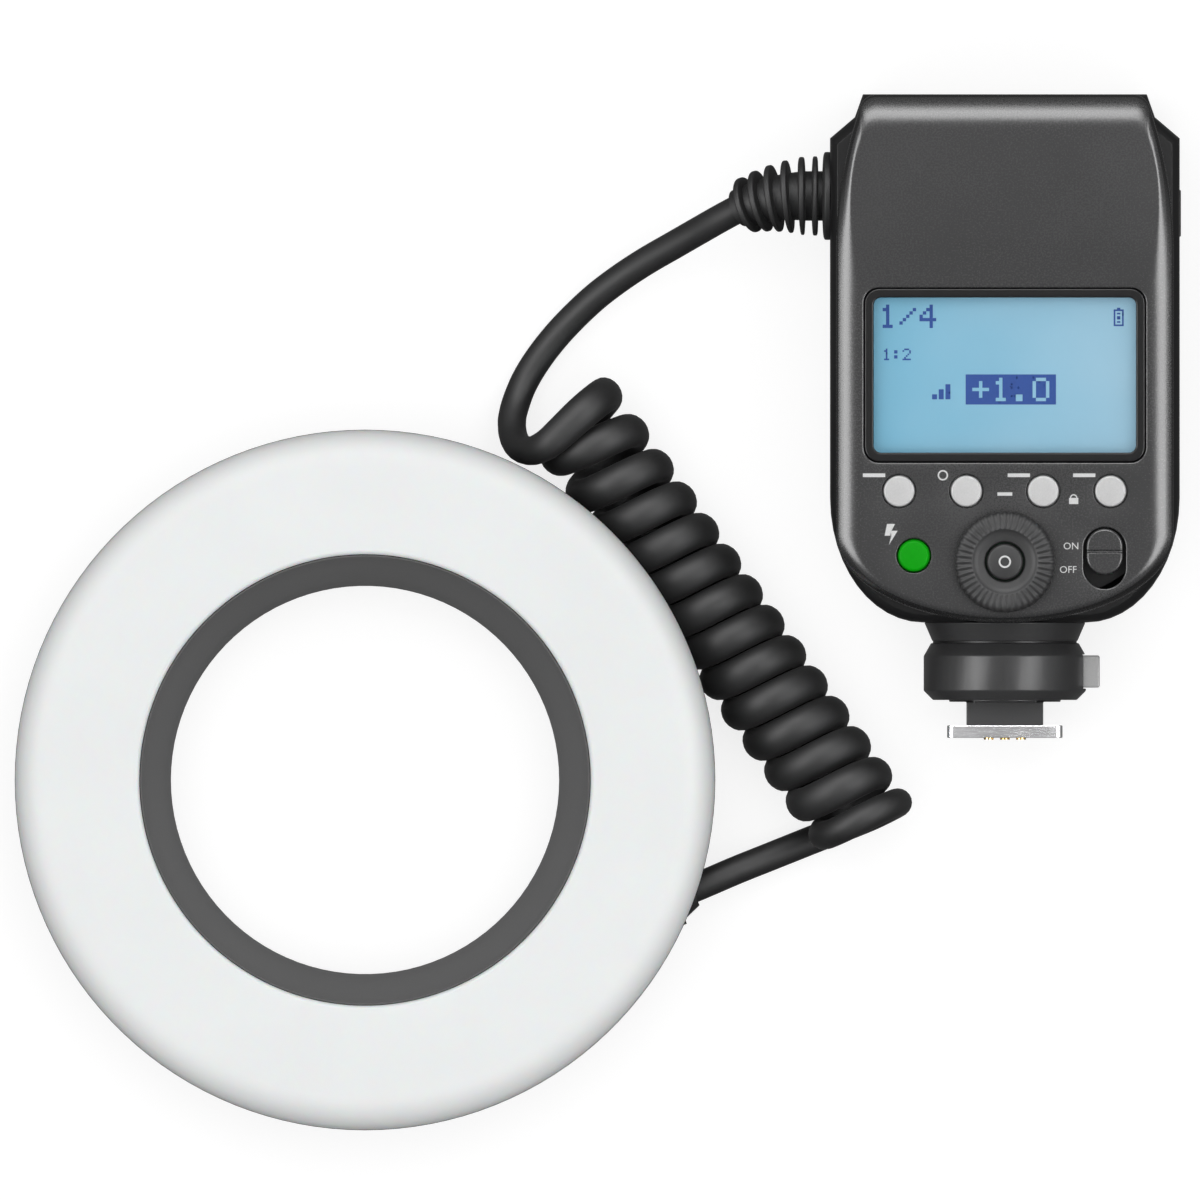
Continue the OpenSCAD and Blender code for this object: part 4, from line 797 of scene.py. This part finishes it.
class RINGFLASH_OT_curly_cord(bpy.types.Operator):
    """Cord in one length from the ribbed strain relief through its curls to the head's gland"""
    bl_idname = "ringflash.curly_cord"
    bl_label = "Curly cord"

    def execute(self, context):
        look = context.scene.curly_cord_look
        line, width = cord_line()
        along = unit_rows(np.gradient(line, axis=0))
        radius = np.full(len(line), look.diameter / MM / 2)
        cord = made("curly_cord", [swept(line, radius, along, AXIS_DIR, look.sides, width)], 60)
        dressed(cord, "cord_rubber", nodes=["cord_upper", "cord_coil", "cord_lower"])
        boot = self.strain_relief()
        tuple(line[0] * MM)
        [tuple(p) for p in line * MM]
        return {"FINISHED"}

    def strain_relief(self):
        """Two rings on the housing, then ribs that shrink along a core: each rib is a rounded bump
        of the radius, added to the core's own taper."""
        d = np.linspace(0, BOOT_START + BOOT_LEN, 260)
        past = np.clip((d - BOOT_START) / BOOT_LEN, 0, 1)
        core = BOOT_CORE - BOOT_CORE_LOSS * past
        starts = np.array([-0.4, 1.9, *(BOOT_START + np.arange(5) * BOOT_LEN / 5)])
        widths = np.array([1.6] + [1.0] * 6)
        tops = np.array([7.1, 6.4, 6.3, 5.875, 5.45, 5.025, 4.6])
        across = (d[:, None] - starts) / widths * 2 - 1
        bump = np.clip(1 - np.abs(across) ** 5, 0, 1) ** 0.4
        radius = core + ((tops - core[:, None]) * bump).max(axis=1).clip(0)
        line, along = boot_frame(d)
        boot = made("strain_relief", [swept(line, radius, along, np.array([0.0, 0.79, -0.61]), 48)], 50)
        return dressed(boot, "cord_rubber", nodes=["cord_boot"])


class RINGFLASH_OT_ring_head(bpy.types.Operator):
    """Milky cover, cone round the bore, rim and rear housing of the head"""
    bl_idname = "ringflash.ring_head"
    bl_label = "Ring head"

    def execute(self, context):
        look = context.scene.ring_head_look
        edge, wall, inner = look.edge_radius / MM, DIFFUSER_WALL, MOUTH_R + 0.1
        cover = eased(
            [[DIFFUSER_R - wall, RIM_TOP], [DIFFUSER_R, RIM_TOP], [DIFFUSER_R, HEAD_H], [inner, HEAD_H],
             [inner, COVER_LIP_Z], [inner + wall, COVER_LIP_Z], [inner + wall, HEAD_H - wall],
             [DIFFUSER_R - wall, HEAD_H - wall]],
            [0.2, 0.3, edge, 0.8, 0.3, 0.3, 0.4, edge - wall], 12)
        dressed(made("diffuser_cover", [spun(cover, steps=288)]), "diffuser_white",
                nodes=["diffuser"])
        t = np.linspace(0, 1, 32)
        slope = np.column_stack([BORE_R + (MOUTH_R - CONE_LIP - BORE_R) * (0.6 * t + 0.4 * eased_step(t)),
                                 CONE_Z + (MOUTH_Z - CONE_Z) * t])
        back = [[MOUTH_R, MOUTH_Z - CONE_LIP], [MOUTH_R, MOUTH_Z - CONE_EDGE], [BORE_R + CONE_WALL, CONE_Z]]
        cone = np.vstack([slope, back])
        dressed(made("bore_cone", [spun(cone, steps=288)]), "cone_grey", nodes=["inner_cone"])
        eased_copy("head_housing", "shell_black")
        eased_copy("latch_cover", "shell_black", width_mm=0.2)
        for latch in ("latch_upper", "latch_lower"):
            eased_copy(latch, "latch_black", latch, 0.15)
        return {"FINISHED"}


class RINGFLASH_OT_unit_housing(bpy.types.Operator):
    """Raised face with its openings, the housing behind it and the battery's end"""
    bl_idname = "ringflash.unit_housing"
    bl_label = "Unit housing"

    def execute(self, context):
        look = context.scene.control_unit_look
        lip = look.lip_radius / MM
        outline = panel_outline()
        fade = eased_step((EDGE_FADE_END - outline[:, 1]) / EDGE_FADE)
        side = EDGE_SIDE * (EDGE_LEFT + (1 - EDGE_LEFT) * fade)
        side *= 1 - LOW_LOSS * eased_step((LOW_FADE_END - outline[:, 1]) / LOW_FADE)
        draws, heights = self.edge_roll(outline)
        loops = [drawn_in(outline, side * d, EDGE_BOTTOM * d, EDGE_TOP * d) for d in draws]
        outside = np.stack([at_height(on_unit(loop), z) for loop, z in zip(loops, heights)])
        cavity = on_unit(drawn_in(outline, CAVITY_SIDE, CAVITY_BOTTOM, CAVITY_TOP))
        inner = np.stack([at_height(cavity, FACE_IN_Z), at_height(cavity, SEAM_Z), outside[0]])
        holes = [soft_square(on_unit(LCD_AT), *BEZEL_HOLE),
                 *[circle(on_unit((x, KEY_Y)), KEY_R + BUTTON_GAP) for x in KEY_XS],
                 circle(on_unit(TEST_AT), TEST_R + BUTTON_GAP),
                 circle(on_unit(DIAL_AT), HUB_R + 0.1),
                 stadium(on_unit(SLIDER_AT), SLOT_W, SLOT_L)]
        turn = np.linspace(0, np.pi / 2, 6)
        rims = []
        for hole in holes:
            rim = [at_height(grown(hole, lip * (1 - np.sin(angle))), UNIT_H - lip * (1 - np.cos(angle)))
                   for angle in turn]
            rims.append(skin(np.stack([*rim, at_height(hole, FACE_IN_Z)])))
        top = holed_face(outside[-1][:, :2], [grown(hole, lip) for hole in holes], UNIT_H)
        roof = holed_face(cavity, holes, FACE_IN_Z)
        face = made("face_panel", [skin(outside), skin(inner), top, roof, *rims])
        dressed(face, "panel_grey", nodes=["panel_shell"])
        eased_copy("front_shell", "shell_black", width_mm=0.35)
        for node in ("battery_pack", "battery_release"):
            eased_copy(node, "latch_black", node)
        return {"FINISHED"}

    def edge_roll(self, outline):
        """The face's edge, row by row, as a share of its depth and the heights round the outline: a small
        round and then a flatter arc, each the sum of its steps along a normal that turns from level to
        upright, and taller at top and bottom."""
        turn = np.linspace(0, np.pi / 2, 32)
        tilt = np.pi / 2 - (turn[1:] + turn[:-1]) / 2
        arc_r = ARC_ROUND + (EDGE_SIDE - ARC_ROUND) / math.sin(ARC_TILT)
        bend = np.where(tilt > ARC_TILT, ARC_ROUND, arc_r)
        inward = np.concatenate([[0], np.cumsum(bend * np.cos(tilt) * np.diff(turn))])
        rise = np.concatenate([[0], np.cumsum(bend * np.sin(tilt) * np.diff(turn))])
        tall = 1 + ARC_TALLER * eased_step(np.abs(directions(outline)[:, 0]))
        heights = UNIT_H - (rise[-1] - rise)[:, None] * tall
        wall = SEAM_Z + (heights[0] - SEAM_Z) * np.array([[0], [0.35], [0.7]])
        return np.concatenate([[0, 0, 0], inward / inward[-1]]), np.vstack([wall, heights])


class RINGFLASH_OT_controls(bpy.types.Operator):
    """Four keys, test button, ribbed dial with the button in its middle, and power slider"""
    bl_idname = "ringflash.controls"
    bl_label = "Controls"

    def execute(self, context):
        look = context.scene.control_unit_look
        for number, x in enumerate(KEY_XS, 1):
            key = made(f"key_{number}_cap", [self.flanged((x, KEY_Y), KEY_R, 0.35, 0.02)])
            dressed(key, "key_grey", f"key_{number}", [f"key_{number}"])
        test = made("test_button_cap", [self.flanged(TEST_AT, TEST_R, 0.5, 0.12)])
        dressed(test, "test_green", "test_button", ["test_button"])
        dressed(made("ribbed_dial", [self.dial(look.dial_ribs)], 50), "dial_grey", "dial", ["dial"])
        push = self.button(DIAL_AT, SET_R, SET_TOP, (SET_STEM_R, SET_LOW, SET_CAP_Z), (0.1, 0.2, 0.1, 0.4),
                           0.3, np.linspace(2.4, 0, 12))
        dressed(made("set_button_cap", [push]), "dial_grey", "set_button", ["set_button"])
        dressed(made("slider_knob", self.knob(), 45), "panel_grey", "power_slider", ["power_slider"])
        return {"FINISHED"}

    def button(self, at, radius, top, foot, eases, crown, dome=(0.01, 0)):
        """Round cap on a foot, which has a radius, a lower side and an upper one. The cap's top falls away
        from a crown by the square of the radius, drawn at the dome's radii."""
        foot_r, low, shoulder = foot
        corners = [[0.01, low], [foot_r, low], [foot_r, shoulder], [radius, shoulder], [radius, top]]
        profile = np.vstack([eased([*corners, [0.01, top]], [0, *eases, 0], 8)[:-8],
                             np.column_stack([dome, np.full(len(dome), top)])])
        profile[:, 1] -= np.where(profile[:, 1] > top - 0.6, crown * (profile[:, 0] / radius) ** 2, 0)
        return spun(np.vstack([[0, low], profile]), on_unit(at), 96, closed=False)

    def flanged(self, at, radius, ease, crown):
        """A button whose foot is a flange behind the face."""
        flange = (radius + FLANGE_W, FLANGE_TOP - FLANGE_T, FLANGE_TOP)
        return self.button(at, radius, KEY_TOP, flange, (0.15, 0.15, 0.1, ease), crown)

    def dial(self, ribs):
        """Dial as rings of points: a dished middle, then a shoulder whose height falls and rises round
        the turn by a cosine, once for each rib, and a plain skirt and hub below."""
        r = np.array([3.2, 3.2, 3.3, 3.45, 4.2, 4.9, 5.05, 5.2, 5.3, 5.4, 5.6, 6.2, 6.8, 7.3, 7.6, 7.8,
                      7.95, 8.07, 8.15, 8.2, 8.2, 8.2, 8.05, 4.25, 4.2, 4.2, 3.2])[:, None]
        z = np.array([36.2, 43.6, 43.75, 43.8, 43.85, 44.05, 44.15, 44.25, 44.3, 44.34, 44.38, 44.4, 44.38,
                      44.3, 44.2, 44.08, 43.95, 43.8, 43.6, 43.4, 43.0, 42.5, 42.3, 42.3, 42.2, 36.2,
                      36.2])[:, None]
        steps = ribs * 14
        trough = (1 - np.cos(ribs * full_turn(steps))) * (z > RIB_LOW)
        fall = RIB_DEPTH * np.clip((r - RIB_FROM) / RIB_OVER, 0, 1) * trough
        inward = NOTCH_DEPTH * np.clip((r - NOTCH_FROM) / NOTCH_OVER, 0, 1) * trough
        return turned(r - inward, z - fall, on_unit(DIAL_AT), steps)

    def knob(self):
        """Long knob as a grid across and along its outline: the height falls by a quarter circle at the
        outline and by a narrow groove across the middle. Its wall goes straight down to a flat base, and
        a stem stands below."""
        ease, half_w, half_l = KNOB_EASE, KNOB_W / 2, KNOB_L / 2
        straight = half_l - half_w
        along, across = [np.sin(np.linspace(-np.pi / 2, np.pi / 2, steps)) for steps in (61, 41)]
        along = np.concatenate([half_l * along, np.linspace(-0.45, 0.45, 31)])
        along = np.unique(along.round(5))[:, None]
        past = np.maximum(0, np.abs(along) - straight)
        x = np.sqrt(np.maximum(0, half_w ** 2 - past ** 2)) * across
        edge = half_w - np.hypot(x, past)
        fall = ease - np.sqrt(ease ** 2 - np.clip(ease - edge, 0, ease) ** 2)
        groove = GROOVE_DEPTH * np.exp(-(along / GROOVE_HALF) ** 4)
        top = np.dstack([x, along + 0 * x, KNOB_TOP - fall - groove])
        top[..., :2] += on_unit(KNOB_AT)
        rim = np.vstack([top[:, -1], top[::-1, 0]])
        foot = at_height(rim[:, :2], KNOB_LOW)
        middle = np.broadcast_to((*on_unit(KNOB_AT), KNOB_LOW), rim.shape)
        stem = plate(soft_square(on_unit(KNOB_AT), *KNOB_STEM), STEM_LOW, STEM_TOP)
        return [skin(top, closed_cols=False), skin(np.stack([rim, foot, middle])), stem]


GLYPHS = {
    "0": "0E11111111110E", "1": "040C040404040E", "2": "0E11010204081F", "4": "02060A121F0202",
    "/": "00010204081000", ":": "000C0C000C0C00", "+": "0004041F040400", ".": "00000000000C0C",
}


def dots_of(text):
    """Cells of a text in a five by seven dot alphabet, as columns and rows counted from its lower left."""
    rows = [np.array([int(GLYPHS[c][i:i + 2], 16) for i in range(0, 14, 2)]) for c in text]
    bits = [((glyph[:, None] >> np.arange(4, -1, -1)) & 1) for glyph in rows]
    sheet = np.hstack([np.pad(glyph, ((0, 0), (0, 1))) for glyph in bits])
    row, col = np.nonzero(sheet)
    return np.column_stack([col, 6 - row]), sheet.shape[1] - 1


def field(cols, rows):
    """Every cell of a field of dots, as columns and rows."""
    return np.stack(np.meshgrid(cols, rows, indexing="ij"), axis=-1).reshape(-1, 2)


def boxes(corners, size, low, high):
    """Upright boxes of one size on many lower left corners, as eight points and six quads each."""
    flat = corners[:, None] + np.array([[0, 0], [1, 0], [1, 1], [0, 1]]) * np.asarray(size)
    points = np.concatenate([np.dstack([flat, np.full(flat.shape[:2], z)]) for z in (low, high)], axis=1)
    sides = np.array([[3, 2, 1, 0], [4, 5, 6, 7], [0, 1, 5, 4], [1, 2, 6, 5], [2, 3, 7, 6], [3, 0, 4, 7]])
    quads = sides[None] + 8 * np.arange(len(corners))[:, None, None]
    return points.reshape(-1, 3), quads.reshape(-1, 4)


class RINGFLASH_OT_display(bpy.types.Operator):
    """Display frame, and plain numbers in dots on the display"""
    bl_idname = "ringflash.display"
    bl_label = "Display"

    def execute(self, context):
        eased_copy("lcd_bezel", "bezel_black", width_mm=0.3)
        corner = on_unit(LCD_AT) - np.array([LCD_W, LCD_L]) / 2
        signs = ((0.9, 20.1, self.text("1/4", 2)), (1.4, 14.9, self.text("1:2", 1)),
                 (15.9, 8.3, self.text("+1.0", 2, True)), (38.7, 20.4, self.battery()),
                 (9.4, 8.6, self.bars()))
        patches = [boxes(corner + (x, y) + cells * DOT, (DOT, DOT), LCD_Z - DOT_SINK, LCD_Z + DOT_RISE)
                   for x, y, cells in signs]
        marks = made("display_dots", patches)
        dressed(marks, "display_ink")
        return {"FINISHED"}

    def text(self, words, size, turned_over=False):
        """Cells of a text's dots, each drawn size by size. Turned over, the dots round it are on."""
        cells, width = dots_of(words)
        if turned_over:
            around = field(np.arange(-2, width + 2), np.arange(-1, 8))
            on = (around[:, None] == cells[None]).all(axis=2).any(axis=1)
            cells = around[~on]
        step = field(np.arange(size), np.arange(size))[:, ::-1]
        return (cells[:, None] * size + step[None]).reshape(-1, 2)

    def battery(self):
        """A small upright cell: an outline with a cap, and two bars of charge."""
        cells = field(np.arange(6), np.arange(11))
        col, row = cells.T
        edge = ((col % 5 == 0) | (row % 9 == 0)) & (row < 10)
        middle = (col > 1) & (col < 4)
        charge = (row > 1) & (row < 8) & (row % 3 > 0)
        cap = row == 10
        return cells[edge | (middle & (charge | cap))]

    def bars(self):
        """A small scale: three upright bars that grow to the right."""
        cells = field(np.arange(11), np.arange(9))
        col, row = cells.T
        return cells[(col % 4 < 3) & (row <= 2 + 3 * (col // 4))]


class RINGFLASH_OT_legends(bpy.types.Operator):
    """Plain printed marks on the face: bars over the keys, a bolt, and the switch's two states"""
    bl_idname = "ringflash.legends"
    bl_label = "Legends"

    def execute(self, context):
        low, top = UNIT_H - MARK_T, UNIT_H + MARK_T
        bars = [[-22.9, 23.45], [0.45, 23.45], [11.0, 23.45]]
        bolt = [[-19.0, 15.9], [-17.7, 15.9], [-18.3, 14.8], [-17.3, 14.8], [-18.7, 12.5], [-18.3, 14.0],
                [-19.4, 14.0]]
        patches = [boxes(on_unit(bars), (3.6, 0.6), low, top),
                   boxes(on_unit([[-1.2, 20.45]]), (2.4, 0.55), low, top),
                   boxes(on_unit([[10.35, 19.1]]), (1.5, 1.0), low, top),
                   self.ring_mark((-10.0, 23.75), 0.85, 0.6, low, top),
                   self.ring_mark((11.1, 20.1), 0.6, 0.4, low, top, np.pi),
                   plate(on_unit(bolt), low, top),
                   self.word("ON", on_unit((9.4, 11.8)), 1.6),
                   self.word("OFF", on_unit((8.8, 8.0)), 1.6)]
        marks = made("face_legends", patches)
        dressed(marks, "legend_white")
        ring = self.ring_mark(DIAL_AT, 1.0, 0.72, SET_TOP - 0.1, SET_TOP + MARK_T)
        mark = made("set_button_mark", [ring])
        dressed(mark, "legend_white", "set_button")
        return {"FINISHED"}

    def ring_mark(self, at, outer, inner, low, top, span=2 * np.pi):
        """A thin ring, or the upper part of one with closed ends: an outer and an inner arc, each below
        and above."""
        whole = span == 2 * np.pi
        angle = np.linspace(0, span, 48, endpoint=not whole)
        way = np.stack([np.cos(angle), np.sin(angle)], axis=-1)
        loops = [on_unit(at) + radius * way for radius in (outer, outer, inner, inner)]
        points = np.stack([at_height(loop, z) for loop, z in zip(loops, (low, top, top, low))])
        if not whole:
            first, last = [np.broadcast_to(points[:, end].mean(axis=0), (4, 1, 3)) for end in (0, -1)]
            points = np.concatenate([first, points, last], axis=1)
        return skin(points, closed_rows=True, closed_cols=whole)

    def word(self, text, at, size):
        """A short word as a thin plate of letters, standing on its lower left corner."""
        letters = bpy.data.curves.new("letters", "FONT")
        letters.body = text
        letters.size = size
        letters.extrude = MARK_T
        letters.resolution_u = 3
        carrier = bpy.data.objects.new("letters", letters)
        mesh = bpy.data.meshes.new_from_object(carrier)
        points = np.empty(len(mesh.vertices) * 3)
        mesh.vertices.foreach_get("co", points)
        points = points.reshape(-1, 3) + (*at, UNIT_H)
        mesh.calc_loop_triangles()
        faces = np.empty(len(mesh.loop_triangles) * 3, dtype=int)
        mesh.loop_triangles.foreach_get("vertices", faces)
        bpy.data.objects.remove(carrier)
        bpy.data.curves.remove(letters)
        bpy.data.meshes.remove(mesh)
        return points, faces.reshape(-1, 3)


class RINGFLASH_OT_foot(bpy.types.Operator):
    """Neck, lock collar with its release tab, plate and contacts of the accessory foot"""
    bl_idname = "ringflash.foot"
    bl_label = "Foot"

    def execute(self, context):
        eased_copy("foot_neck", "foot_grey", width_mm=0.3)
        dressed(made("neck_washer", [self.washer()]), "shell_black")
        eased_copy("lock_collar", "foot_grey", "lock_collar", 0.6, 25)
        eased_copy("lock_release", "tab_grey", "lock_release", 0.35)
        eased_copy("foot_plate", "foot_silver")
        eased_copy("contact_block", "bezel_black", width_mm=0.2)
        return {"FINISHED"}

    def washer(self):
        """Thin ring between neck and collar: a profile of radius and height carried round the foot's axis,
        which lies along Y."""
        points, faces = spun(soft_square(WASHER_AT, WASHER_W, WASHER_T, 0.02, 4), steps=96)
        return np.column_stack([points[:, 0] + UNIT[0], points[:, 2], points[:, 1] + FOOT_Z]), faces


class RINGFLASH_OT_solid_finishes(bpy.types.Operator):
    """Finishes of the solids that stay as they are, inside the head, the unit and the foot"""
    bl_idname = "ringflash.solid_finishes"
    bl_label = "Finishes of the solids"

    def execute(self, context):
        for part in frame["record"]["subparts"]:
            mesh = frame["nodes"][part["node"]].data
            finish = finish_of(part["material_slot"])
            mesh.materials.clear()
            mesh.materials.append(finish)
        return {"FINISHED"}


class RINGFLASH_PT_pieces(bpy.types.Panel):
    """Ring flash"""
    bl_idname = "RINGFLASH_PT_pieces"
    bl_label = "Ring flash"
    bl_space_type = "VIEW_3D"
    bl_region_type = "UI"
    bl_category = "Ring flash"

    def draw(self, context):
        for step in STEPS:
            self.layout.operator(step.bl_idname)
        for group in LOOKS:
            look = getattr(context.scene, group)
            for name in look.bl_rna.properties.keys():
                if name not in ("rna_type", "name"):
                    self.layout.prop(look, name)


STEPS = (RINGFLASH_OT_stage, RINGFLASH_OT_curly_cord, RINGFLASH_OT_ring_head, RINGFLASH_OT_unit_housing,
         RINGFLASH_OT_controls, RINGFLASH_OT_display, RINGFLASH_OT_legends, RINGFLASH_OT_foot,
         RINGFLASH_OT_solid_finishes)
LOOKS = {"curly_cord_look": CurlyCordLook, "ring_head_look": RingHeadLook,
         "control_unit_look": ControlUnitLook, "stage_look": StageLook}


def register():
    for group, look in LOOKS.items():
        bpy.utils.register_class(look)
        setattr(bpy.types.Scene, group, PointerProperty(type=look))
    for step in (*STEPS, RINGFLASH_PT_pieces):
        bpy.utils.register_class(step)


def unregister():
    for step in (RINGFLASH_PT_pieces, *reversed(STEPS)):
        bpy.utils.unregister_class(step)
    for group, look in LOOKS.items():
        delattr(bpy.types.Scene, group)
        bpy.utils.unregister_class(look)


def main():
    register()
    for step in STEPS:
        getattr(bpy.ops.ringflash, step.bl_idname.partition(".")[2])()


if __name__ == "__main__":
    main()
